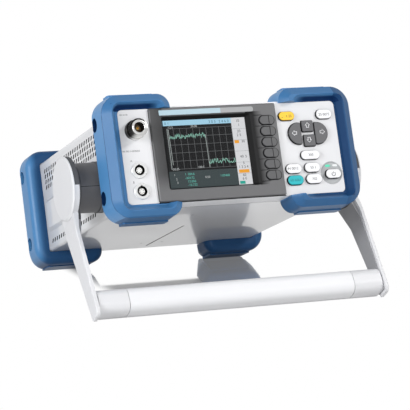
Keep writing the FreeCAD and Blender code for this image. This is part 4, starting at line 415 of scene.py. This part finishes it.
# Screen: clear pane that hardly mirrors, set in the recess of the surround over the black display
# module.
pane = bpy.data.materials.new("clear_pane")
pane.use_nodes = True
nodes, links = pane.node_tree.nodes, pane.node_tree.links
clear = nodes.new("ShaderNodeBsdfTransparent")
clear.inputs["Color"].default_value = (0.97, 0.98, 0.98, 1)
shine = nodes.new("ShaderNodeBsdfGlossy")
shine.inputs["Roughness"].default_value = 0.03
edge = nodes.new("ShaderNodeFresnel")
edge.inputs["IOR"].default_value = 1.18
cover = nodes.new("ShaderNodeMixShader")
links.new(edge.outputs[0], cover.inputs["Fac"])
links.new(clear.outputs[0], cover.inputs[1])
links.new(shine.outputs[0], cover.inputs[2])
links.new(cover.outputs[0], nodes["Material Output"].inputs["Surface"])
dress(pane, "display_window")
dress(coated("module_black", (0.02, 0.02, 0.022), 0.3, 2000, 0.05, 0.05), "display_module")

# Keys: moulded caps with printed or through-coloured faces that stand in the holes of the panel.
# Their side walls are painted near black as painted shade.
walls = bpy.data.node_groups.new("key_wall_shade", "ShaderNodeTree")
walls.interface.new_socket(name="Mask", in_out="OUTPUT", socket_type="NodeSocketFloat")
facing = walls.nodes.new("ShaderNodeTexCoord")
forward = walls.nodes.new("ShaderNodeVectorMath")
forward.operation = "DOT_PRODUCT"
forward.inputs[1].default_value = (0, -math.cos(lean_angle), math.sin(lean_angle))
walls.links.new(facing.outputs["Normal"], forward.inputs[0])
leave = walls.nodes.new("NodeGroupOutput")
walls.links.new(ramp(walls, forward.outputs["Value"], 0.85, 0.5, smooth=False), leave.inputs["Mask"])
cap_wall_shade = {"mask": "key_wall_shade", "masked": (0.012, 0.012, 0.013)}
dress(coated("key_white", (0.83, 0.83, 0.84), 0.4, 2600, 0.08, 0.02, **cap_wall_shade), "key_top_right",
      "key_enter", "key_lower_left", "key_lower_right", "key_bottom_right", "key_power")
dress(coated("key_amber", (0.90, 0.55, 0.03), 0.4, 2600, 0.08, 0.02, **cap_wall_shade), "key_yellow")
dress(coated("key_turquoise", (0.01, 0.43, 0.47), 0.4, 2600, 0.08, 0.02, **cap_wall_shade), "key_teal")
dress(coated("key_graphite", (0.105, 0.105, 0.11), 0.45, 2600, 0.1, 0.05, **cap_wall_shade), "key_left",
      "key_up", "key_right", "key_down")
dress(coated("softkey_graphite", (0.09, 0.09, 0.093), 0.45, 2600, 0.1, 0.05, **cap_wall_shade),
      *[f"softkey_{number}" for number in range(1, 7)])
dress(coated("dish_grey", (0.42, 0.43, 0.44), 0.4, 2600, 0.08, 0.03), "power_key_dish")


def left_lens(tree, x, y, z):
    """1 on the left one of the two lenses."""
    return reckon(tree, "LESS_THAN", x, 91)


lens = coated("lens_clear", (0.80, 0.82, 0.82), 0.2, 2600, 0.05, 0.02,
              mask=mask_group("left_lens", left_lens), masked=(0.10, 0.42, 0.30))
area = lens.node_tree.nodes.new("ShaderNodeGroup")
area.node_tree = bpy.data.node_groups["left_lens"]
lens_shader = lens.node_tree.nodes["Principled BSDF"]
lens_shader.inputs["Emission Color"].default_value = (0.05, 0.35, 0.22, 1)
lens.node_tree.links.new(area.outputs["Mask"], lens_shader.inputs["Emission Strength"])
dress(lens, "status_lenses")
dress(coated("mat_rubber", (0.05, 0.05, 0.052), 0.7, 1500, 0.2, 0.05), "keypad_mat")
dress(coated("board_resin", (0.02, 0.14, 0.06), 0.4, 800, 0.1, 0.1), "front_board", "main_board")

# Connectors: turned shells with a nickel plate, set in holes of the front and rear plates, with
# white or brown insulators in them and thin metal contacts in these.
nickel = coated("nickel_plate", (0.56, 0.55, 0.53), 0.2, 3000, 0.06, 0.03, 1)
dress(nickel, "bnc_jacks")


connector_x, socket_levels = -88.3, (24.3, 42.4)


def socket_radius(tree, x, z):
    """Distance from the axis of the nearer one of the two sensor sockets."""
    return radius_of(tree, offset(tree, x, connector_x), nearest(tree, z, socket_levels))


def socket_well_shade(tree, x, y, z):
    """1 inside the keyed wells of the two sensor sockets: painted shade, near black."""
    return all_of(tree, reckon(tree, "LESS_THAN", socket_radius(tree, x, z), 5.6),
                  reckon(tree, "GREATER_THAN", y, 4.5))


dress(coated("socket_nickel", (0.82, 0.82, 0.81), 0.28, 3000, 0.06, 0.03, 0.4,
             mask=mask_group("socket_well_shade", socket_well_shade), masked=(0.004, 0.004, 0.004)), "sensor_sockets")


def insert_rim_shade(tree, x, y, z):
    """1 on the outer part of the two socket inserts: painted shade of the gap round them, near black."""
    return reckon(tree, "GREATER_THAN", socket_radius(tree, x, z), 2.6)


dress(coated("white_insulator", (0.80, 0.80, 0.78), 0.5, 2000, 0.1, 0.03,
             mask=mask_group("insert_rim_shade", insert_rim_shade), masked=(0.004, 0.004, 0.004)),
      "sensor_socket_inserts")
dress(coated("brown_insulator", (0.06, 0.03, 0.012), 0.4, 2000, 0.1, 0.03), "rf_jack_insulator")
dress(coated("gold_contact", (0.85, 0.60, 0.22), 0.22, 3000, 0.05, 0.05, 1), "rf_jack_contact")
dress(coated("dull_contact", (0.22, 0.17, 0.09), 0.4, 3000, 0.05, 0.05, 1), "sensor_socket_pins")

# Handle: pale painted outer shells, caps, bar and bar ends over moulded liners drawn mid grey and
# darker at their round roots. It turns on steel pins in the two dark drums that are fixed to the case.
dress(coated("handle_shell", (0.72, 0.72, 0.73), 0.4, 1800, 0.2, 0.03), "handle_arm_left",
      "handle_arm_right", "hub_caps", "bar_ends")
dress(coated("bar_paint", (0.80, 0.80, 0.81), 0.45, 2400, 0.1, 0.02), "handle_bar")


def liner_root(tree, x, y, z):
    """1 on the round root of a liner, beside the drum, where the liner is drawn darker."""
    return reckon(tree, "LESS_THAN", radius_of(tree, offset(tree, y, 66.9), offset(tree, z, 41.7)), 33)


dress(coated("liner_plastic", (0.32, 0.32, 0.33), 0.5, 1600, 0.2, 0.05,
             mask=mask_group("liner_root", liner_root), masked=(0.11, 0.11, 0.115)), "handle_liner_left",
      "handle_liner_right")


def drum_seam(tree, x, y, z):
    """1 on the thin parting line half way up the drums."""
    return within(tree, z, 39, 0.22)


dress(coated("drum_plastic", (0.10, 0.10, 0.105), 0.5, 1600, 0.2, 0.05,
             mask=mask_group("drum_seam", drum_seam), masked=(0.015, 0.015, 0.016)), "hub_drums")
dress(coated("pin_steel", (0.6, 0.6, 0.6), 0.3, 2500, 0.05, 0.04, 1), "pivot_pins")

# Inside and rear: bare metal of the supply's case and of the data sockets, black mouldings of the
# mains inlet, its fuse drawer and the fan, all behind or in the rear plate.
dress(coated("supply_can", (0.6, 0.6, 0.6), 0.35, 500, 0.1, 0.05, 1), "power_supply", "interface_sockets")
dress(coated("black_moulding", (0.018, 0.018, 0.02), 0.45, 1600, 0.2, 0.1), "mains_inlet",
      "fuse_drawer", "fan_frame", "fan_rotor")

# Screen picture: a lit colour panel seen through the pane, with a pale title bar, a dark graph with
# its grid and a noisy trace, a grey field of figures and a white column of six menu cells.
LEAN = Matrix.Translation(lean_shift) @ Matrix.Rotation(-lean_angle, 4, "X") @ Matrix.Scale(0.001, 4)


def seat(piece, material, body="unit"):
    """Bring a piece that was drawn upright in millimetres into its leaned place on a body."""
    bpy.ops.object.select_all(action="DESELECT")
    piece.select_set(True)
    bpy.context.view_layer.objects.active = piece
    bpy.context.view_layer.update()
    piece.matrix_world = LEAN @ piece.matrix_world
    bpy.ops.object.transform_apply(location=True, rotation=True, scale=True)
    piece.data.materials.clear()
    piece.data.materials.append(material)
    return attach(piece, body)


def joined(name, made):
    """One mesh made of several."""
    bpy.ops.object.select_all(action="DESELECT")
    for piece in made:
        piece.select_set(True)
    bpy.context.view_layer.objects.active = made[0]
    if len(made) > 1:
        bpy.ops.object.join()
    made[0].name = name
    return made[0]


def tiles(name, boxes, front, thick):
    """Flat blocks that face the front: left, right, bottom and top of each, joined to one mesh."""
    made = []
    for left, right, bottom, top in boxes:
        bpy.ops.mesh.primitive_cube_add(
            size=1, location=((left + right) / 2, front + thick / 2, (bottom + top) / 2)
        )
        block = bpy.context.active_object
        block.scale = (right - left, thick, top - bottom)
        made.append(block)
    return joined(name, made)


def wires(name, paths, thick, closed=False):
    """Round lines along paths of points, as one mesh."""
    bpy.ops.object.select_all(action="DESELECT")
    bpy.ops.object.add(type="CURVE")
    curve = bpy.context.active_object
    curve.name = name
    curve.data.dimensions = "3D"
    curve.data.bevel_depth = thick / 2
    curve.data.bevel_resolution = 1
    for path in paths:
        run = curve.data.splines.new("POLY")
        run.use_cyclic_u = closed
        run.points.add(len(path) - 1)
        for point, place in zip(run.points, path):
            point.co = (*place, 1)
    bpy.ops.object.convert(target="MESH")
    return bpy.context.active_object


size_of_height, ink_thick = 1.4, 0.04


def figures(name, entries, tall, front):
    """Plain figures that face the front, each given as words with its left end and base line."""
    made = []
    for words, left, base in entries:
        bpy.ops.object.text_add(location=(left, front, base), rotation=(math.pi / 2, 0, 0))
        text = bpy.context.active_object
        text.data.body = words
        text.data.size = tall * size_of_height
        text.data.extrude = ink_thick / 2
        bpy.ops.object.convert(target="MESH")
        made.append(bpy.context.active_object)
    return joined(name, made)


def lit(name, colour):
    """Material of a lit screen area: its own light, broken up by the fine raster of the panel."""
    material = bpy.data.materials.new(name)
    material.use_nodes = True
    nodes, links = material.node_tree.nodes, material.node_tree.links
    shader = nodes["Principled BSDF"]
    shader.inputs["Base Color"].default_value = (0.01, 0.01, 0.01, 1)
    shader.inputs["Roughness"].default_value = 0.4
    shader.inputs["Specular IOR Level"].default_value = 0.08
    shader.inputs["Emission Color"].default_value = (*colour, 1)
    place = nodes.new("ShaderNodeTexCoord")
    raster = nodes.new("ShaderNodeTexChecker")
    raster.inputs["Scale"].default_value = 4200
    links.new(place.outputs["Object"], raster.inputs["Vector"])
    level = ramp(material.node_tree, raster.outputs["Fac"], 0, 1, 0.94, 1.06, smooth=False)
    links.new(level, shader.inputs["Emission Strength"])
    return material


screen_left, menu_left, screen_right = -60.6, 3.2, 16.1
screen_low, graph_low, graph_high, screen_high = 25.6, 40.4, 80.3, 84.9
screen_back, bar_thick, field_thick = 9.56, 0.06, 0.04
line_front, menu_ink_front, ink_front, trace_front = 9.48, 9.47, 9.46, 9.44
for name, box, thick, light, colour in (
    ("screen_title_bar", (screen_left, menu_left, graph_high, screen_high), bar_thick,
     "screen_pale_blue", (0.36, 0.62, 0.78)),
    ("screen_menu_column", (menu_left, screen_right, screen_low, screen_high), bar_thick,
     "screen_white", (0.68, 0.68, 0.70)),
    ("screen_graph_field", (screen_left, menu_left, graph_low, graph_high), field_thick,
     "screen_dark", (0.006, 0.006, 0.007)),
    ("screen_figure_field", (screen_left, menu_left, screen_low, graph_low), field_thick,
     "screen_slate", (0.045, 0.060, 0.063)),
):
    seat(tiles(name, [box], screen_back - thick, thick), lit(light, colour))
grid_left, grid_right, grid_low, grid_high = -57.5, 2.9, 42.2, 77.6
grid = []
for step in range(11):
    line_x = grid_left + (grid_right - grid_left) * step / 10
    grid.append([(line_x, line_front, grid_low), (line_x, line_front, grid_high)])
for step in range(6):
    line_z = grid_low + (grid_high - grid_low) * step / 5
    grid.append([(grid_left, line_front, line_z), (grid_right, line_front, line_z)])
seat(wires("screen_grid", grid, 0.28), lit("screen_grid_grey", (0.16, 0.165, 0.17)))
shake = random.Random(7)
stride = 0.42
pulse = [(-55.5 + stride * step, trace_front, 70.8 + shake.uniform(-2.4, 2.4)) for step in range(79)]
rest = [(-22.0 + stride * step, trace_front, 47.9 + shake.uniform(-2.6, 2.2)) for step in range(60)]
seat(wires("screen_trace", [pulse, rest], 0.5), lit("screen_trace_green", (0.30, 0.62, 0.50)))
seat(wires("screen_edge_lines", [
    [(-56.9, trace_front, 42.4), (-56.9, trace_front, 77.4)],
    [(-55.3, trace_front, 46), (-55.9, trace_front, 77)],
    [(-22.4, trace_front, 71.5), (-22.0, trace_front, 42.6)],
], 0.4), lit("screen_line_pale", (0.42, 0.46, 0.45)))
cell = (screen_high - screen_low) / 6
menu_lines = []
for step in range(1, 6):
    line_z = screen_high - cell * step
    menu_lines.append([(3.4, line_front, line_z), (16, line_front, line_z)])
seat(wires("screen_menu_lines", menu_lines, 0.25), lit("screen_menu_grey", (0.32, 0.33, 0.34)))
seat(figures("screen_menu_figures", [
    ("10", 7.6, 81.0), ("1", 9.2, 77.2),
    ("20", 7.6, 71.8), ("2 5", 6.9, 68.4),
    ("30", 10.4, 62.6),
    ("40", 7.4, 49.3), ("5", 12.2, 49.3),
    ("5", 9.2, 43.6), ("1 2 3 4", 4.8, 40.2),
    ("60", 7.6, 33.0), ("6 0", 6.9, 29.9),
], 2.3, menu_ink_front), lit("screen_menu_ink", (0.05, 0.05, 0.055)))
seat(tiles("screen_menu_orange", [(4.0, 8.2, 62.2, 64.9), (4.6, 14.3, 36.0, 38.9)], ink_front, 0.03),
     lit("screen_orange", (0.86, 0.36, 0.03)))
seat(tiles("screen_menu_green", [(4.2, 9.2, 26.3, 28.9)], ink_front, 0.03),
     lit("screen_teal", (0.02, 0.36, 0.28)))
seat(figures("screen_title_figures", [
    ("0 1", -58.8, 81.2), ("3 0 5", -18, 81.2), ("2 4 6 0", -8.5, 81.2),
], 2.4, ink_front), lit("screen_title_ink", (0.06, 0.16, 0.24)))
seat(figures("screen_white_figures", [
    ("1", -56, 36.4), ("2", -54.5, 32.6), ("3", -54.0, 29.6),
    ("-20.25", -57, 41.4), ("100.0", -33, 42.2),
    ("-12.5", -56.8, 78.0), ("20.00", -35, 78.2), ("0.50", -27.5, 33.2),
], 1.9, ink_front), lit("screen_white_ink", (0.50, 0.52, 0.52)))
seat(figures("screen_green_figures", [
    ("1. 204.6", -46, 36.6), ("-204.72", -46, 33.3), ("12.050", -44, 30.2), ("-16.722", -44, 27.2),
    ("1.05460", -13.5, 33.8),
], 2.0, ink_front), lit("screen_green_ink", (0.12, 0.48, 0.40)))

# Title strip over the screen: thin plastic inlay with rounded ends, pale blue for two thirds of its
# length and silver for the rest, left bare.
strip_left, strip_join, strip_right = -65, -8, 22.7
strip_low, strip_high, strip_front, strip_thick = 88.4, 92.8, 3.32, 0.2


def inlay(name, left, right, corner, rounded_end):
    """Part of the strip with the corners of one end rounded."""
    plate = tiles(name, [(left, right, strip_low, strip_high)], strip_front, strip_thick)
    bpy.ops.object.transform_apply(location=True, rotation=True, scale=True)
    bpy.ops.object.mode_set(mode="EDIT")
    bpy.ops.mesh.select_mode(type="EDGE")
    bpy.ops.mesh.select_all(action="DESELECT")
    bpy.ops.object.mode_set(mode="OBJECT")
    for edge in plate.data.edges:
        ends = [plate.data.vertices[index].co for index in edge.vertices]
        across = abs(ends[0].y - ends[1].y) > strip_thick / 2
        edge.select = across and abs(ends[0].x - rounded_end) < 0.01
    bpy.ops.object.mode_set(mode="EDIT")
    bpy.ops.mesh.bevel(offset=corner, segments=6, affect="EDGES")
    bpy.ops.object.mode_set(mode="OBJECT")
    return plate


seat(inlay("title_strip_blue", strip_left, strip_join, 0.6, strip_left),
     coated("strip_pale_blue", (0.40, 0.54, 0.60), 0.4, 2600, 0.05, 0.02))
seat(inlay("title_strip_silver", strip_join, strip_right, 1.8, strip_right),
     coated("strip_silver", (0.34, 0.345, 0.35), 0.35, 2600, 0.05, 0.03))

# Coaxial jack: turned and nickel-plated, with a cut thread up to the relief, a round base on the
# panel and a nut behind it. It stands for the plain turned body of the frame.
def lathe(name, centre, profile, steps):
    """Ring turned from a closed outline of radius and depth, round an axis that points forward."""
    shape = bpy.data.meshes.new(name)
    points = [(radius, depth, 0) for radius, depth in profile]
    sides = [(index, (index + 1) % len(points)) for index in range(len(points))]
    shape.from_pydata(points, sides, [])
    ring = bpy.data.objects.new(name, shape)
    bpy.context.collection.objects.link(ring)
    bpy.ops.object.select_all(action="DESELECT")
    ring.select_set(True)
    bpy.context.view_layer.objects.active = ring
    spin = ring.modifiers.new("spin", "SCREW")
    spin.axis = "Y"
    spin.steps = steps
    spin.render_steps = steps
    spin.use_merge_vertices = True
    bpy.ops.object.modifier_apply(modifier=spin.name)
    bpy.ops.object.mode_set(mode="EDIT")
    bpy.ops.mesh.select_all(action="SELECT")
    bpy.ops.mesh.normals_make_consistent(inside=False)
    bpy.ops.object.mode_set(mode="OBJECT")
    bpy.ops.object.shade_smooth_by_angle(angle=math.radians(25))
    ring.location = (centre[0], 0, centre[1])
    return ring


thread_radius, thread_root, thread_pitch, threads = 7.95, 7.3, 25.4 / 24, 6
jack_z, jack_bore = 76.8, 4.4
teeth = []
for step in range(threads):
    crest = -6.9 + step * thread_pitch
    root = crest + thread_pitch / 2
    teeth += [(thread_radius, crest), (thread_radius, crest + 0.2)]
    teeth += [(thread_root, root), (thread_root, root + 0.1)]
jack = lathe("rf_jack_turned", (connector_x, jack_z), [
    (jack_bore, -7.6), (4.8, -8), (5.9, -8), (6.2, -7.7), (6.2, -7.3), (7.0, -7.2), *teeth,
    (thread_radius, -0.6), (7.6, -0.2), (6.9, -0.2), (6.9, 1.2), (8.3, 1.2), (8.6, 1.5), (8.6, 6),
    (6.2, 6), (6.2, 8), (9.8, 8), (9.8, 11), (6.2, 11), (6.2, 24), (jack_bore, 24),
], steps=72)


def jack_shade(tree, x, y, z):
    """1 on the thread and base of the jack where they turn up and to the left, and in the bore."""
    across = reckon(tree, "SUBTRACT", x, connector_x)
    rise = reckon(tree, "SUBTRACT", z, jack_z)
    reach = radius_of(tree, across, rise)
    turned = ramp(tree, reckon(tree, "SUBTRACT", rise, across), -7, 1)
    behind_rim = reckon(tree, "GREATER_THAN", y, -7.25)
    outside = reckon(tree, "GREATER_THAN", reach, 40 ** 0.5)
    bore = reckon(tree, "LESS_THAN", reach, jack_bore + 0.05)
    return any_of(tree, all_of(tree, behind_rim, outside, turned), bore)


jack_nickel = coated("jack_nickel", (0.75, 0.74, 0.72), 0.25, 3000, 0.06, 0.03, 0.6,
                     mask=mask_group("jack_shade", jack_shade), masked=(0.02, 0.019, 0.018))
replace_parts(seat(jack, jack_nickel), "rf_jack_body")

# Panel print: plain figures on the keys, outlined arrows on the dark ones, the on mark of the power
# key, the letters of the two sockets and two bare rows of figures over the connectors.
key_ink = coated("key_ink", (0.03, 0.03, 0.035), 0.5, 3000, 0.05, 0.03)
teal_ink = coated("teal_ink", (0.005, 0.16, 0.18), 0.5, 3000, 0.05, 0.03)
print_front = 3.66
for key, words, left, base, ink in (
    ("yellow", "1 23", 52.9, 81.6, key_ink),
    ("top_right", "25 0075", 84.6, 81.7, key_ink),
    ("enter", "300", 69.4, 46.2, key_ink),
    ("lower_left", "44 0012", 47.6, 35.0, key_ink),
    ("lower_right", "50 1", 69.6, 34.9, key_ink),
    ("teal", "60 6661", 48.9, 24.7, teal_ink),
    ("bottom_right", "702", 69.9, 24.7, key_ink),
):
    seat(figures(f"{key}_figures", [(words, left, base)], 2.3, print_front), ink, f"key_{key}_cap")
seat(tiles("yellow_dash", [(48.9, 50.2, 81.5, 81.8)], print_front, 0.05), key_ink, "key_yellow_cap")
arrow = [(0, 2.4), (2.2, 0.2), (1.1, 0.2), (1.1, -1.9), (-1.1, -1.9), (-1.1, 0.2), (-2.2, 0.2)]
arrow_ink = coated("arrow_ink", (0.85, 0.85, 0.86), 0.5, 3000, 0.05, 0.03)
for key, x, z, quarter in (
    ("up", 72.4, 73.7, 0),
    ("left", 59.3, 67.3, 1),
    ("down", 72.4, 61.0, 2),
    ("right", 85.7, 67.3, 3),
):
    cosine, sine = round(math.cos(quarter * math.pi / 2)), round(math.sin(quarter * math.pi / 2))
    mark = [(x + a * cosine - b * sine, print_front, z + a * sine + b * cosine) for a, b in arrow]
    seat(wires(f"{key}_arrow", [mark], 0.6, closed=True), arrow_ink, f"key_{key}_cap")
mark_x, mark_z, mark_radius = 91.2, 29.2, 1.7
open_ring = []
for degrees in range(40, 321, 20):
    across = mark_radius * math.sin(math.radians(degrees))
    rise = mark_radius * math.cos(math.radians(degrees))
    open_ring.append((mark_x + across, print_front, mark_z + rise))
stroke = [(mark_x, print_front, mark_z + 0.4), (mark_x, print_front, mark_z + 2.1)]
seat(wires("power_mark", [open_ring, stroke], 0.45), key_ink, "key_power_cap")

# Gaps: painted shade, dark lines where each cap goes through the panel or the display surround,
# taken from the cap's own outline, under the surround, between the softkeys and along cap folds.
def cap_rim(node, front, face):
    """Closed path on a face, a little outside the part of a key that lies in front of a level."""
    room = 0.1
    flat = []
    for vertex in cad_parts[node].data.vertices:
        place = LEAN.inverted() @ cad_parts[node].matrix_world @ vertex.co
        if place.y < front:
            flat.append(Vector((place.x, place.z)))
    hull = [flat[index] for index in convex_hull_2d(flat)]
    middle = sum(hull, Vector((0, 0))) / len(hull)
    rim = [point + (point - middle).normalized() * room for point in hull]
    return [(point.x, face, point.y) for point in rim]


panel_face, bezel_face = 6, 3.5
gap_shade = coated("gap_shade", (0.006, 0.006, 0.007), 0.6, 2600, 0.08, 0.05)
gap_shade.node_tree.nodes["Principled BSDF"].inputs["Specular IOR Level"].default_value = 0.05
panel_rims, bezel_rims = [], []
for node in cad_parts:
    if node.startswith("key_"):
        panel_rims.append(cap_rim(node, panel_face + 0.3, panel_face))
    if node.startswith("softkey_"):
        bezel_rims.append(cap_rim(node, bezel_face + 0.1, bezel_face))
seat(wires("panel_key_gaps", panel_rims, 0.7, closed=True), gap_shade)
seat(wires("softkey_gaps", bezel_rims, 1.1, closed=True), gap_shade)
seat(wires("bezel_gap", [[(-74, 5.8, 13.2), (44, 5.8, 13.2)]], 0.8), gap_shade)
softkey_top, softkey_pitch = 80, 9.74
dividers = []
for step in range(7):
    level = softkey_top + softkey_pitch / 2 - softkey_pitch * step
    dividers.append([(22.4, bezel_face, level), (29.5, bezel_face, level)])
seat(wires("softkey_divider_shade", dividers, 0.45), gap_shade)
for number in range(6):
    level = softkey_top - softkey_pitch * number
    fold = [(35.6, 1.9, level - 3.5), (35.6, 1.9, level + 3.5)]
    seat(wires(f"softkey_fold_shade_{number + 1}", [fold], 0.5), gap_shade, f"softkey_{number + 1}_cap")
panel_ink = coated("panel_ink", (0.12, 0.12, 0.125), 0.5, 3000, 0.05, 0.03)
panel_print_front = panel_face - ink_thick
seat(figures("socket_letters", [("A", -95.2, 49.9), ("B", -95.1, 31.5)], 1.9, panel_print_front), panel_ink)
seat(figures("panel_figures", [
    ("100 50 00", -100.4, 90.2), ("100 200 3 40000000", -101.6, 58.6),
], 1.4, panel_print_front), panel_ink)

# Underside of the case: three small sunk fixing points where the inner tray is screwed to the
# folded sheet, seen only as dark rounds.
def discs(name, places, vertices, radius, depth, turn=0):
    """Cylinders that stand upright or are turned round Y, joined to one mesh."""
    made = []
    for place in places:
        bpy.ops.mesh.primitive_cylinder_add(
            vertices=vertices, radius=radius, depth=depth, location=place, rotation=(0, turn, 0)
        )
        made.append(bpy.context.active_object)
    return joined(name, made)


fixings = [(-17.4, 73.5, 13), (4.9, 211, 13), (-16.1, 211.7, 13)]
seat(discs("tray_fixing_points", fixings, 24, 1.1, 0.1),
     coated("fixing_shade", (0.25, 0.25, 0.26), 0.5, 2600, 0.08, 0.05))

# Screw recesses: six-sided sockets in the heads of the guard screws, crosses in those of the rear
# plate, both pressed into steel. Bayonet lugs of the two rear jacks, turned with their shells.
# The sockets and crosses are drawn as flat near-black marks: painted shade of their depth.
recess_shade = coated("recess_shade", (0.01, 0.01, 0.01), 0.6, 2600, 0.08, 0.05)
heads = [(side * 111.02, y, z) for side in (-1, 1) for y in screw_depths for z in screw_levels]
seat(discs("guard_screw_sockets", heads, 6, 2.3, 0.06, math.pi / 2), recess_shade)
crosses = []
for x in (-95, 95):
    for z in (22, 88):
        crosses += [(x - 2, x + 2, z - 0.35, z + 0.35), (x - 0.35, x + 0.35, z - 2, z + 2)]
seat(tiles("rear_screw_crosses", crosses, 242.98, 0.05), recess_shade)
lugs = [(x, 249.5, 78 + side * 5.1) for x in (-28, -48) for side in (-1, 1)]
seat(discs("bayonet_lugs", lugs, 24, 1, 1.4), nickel)
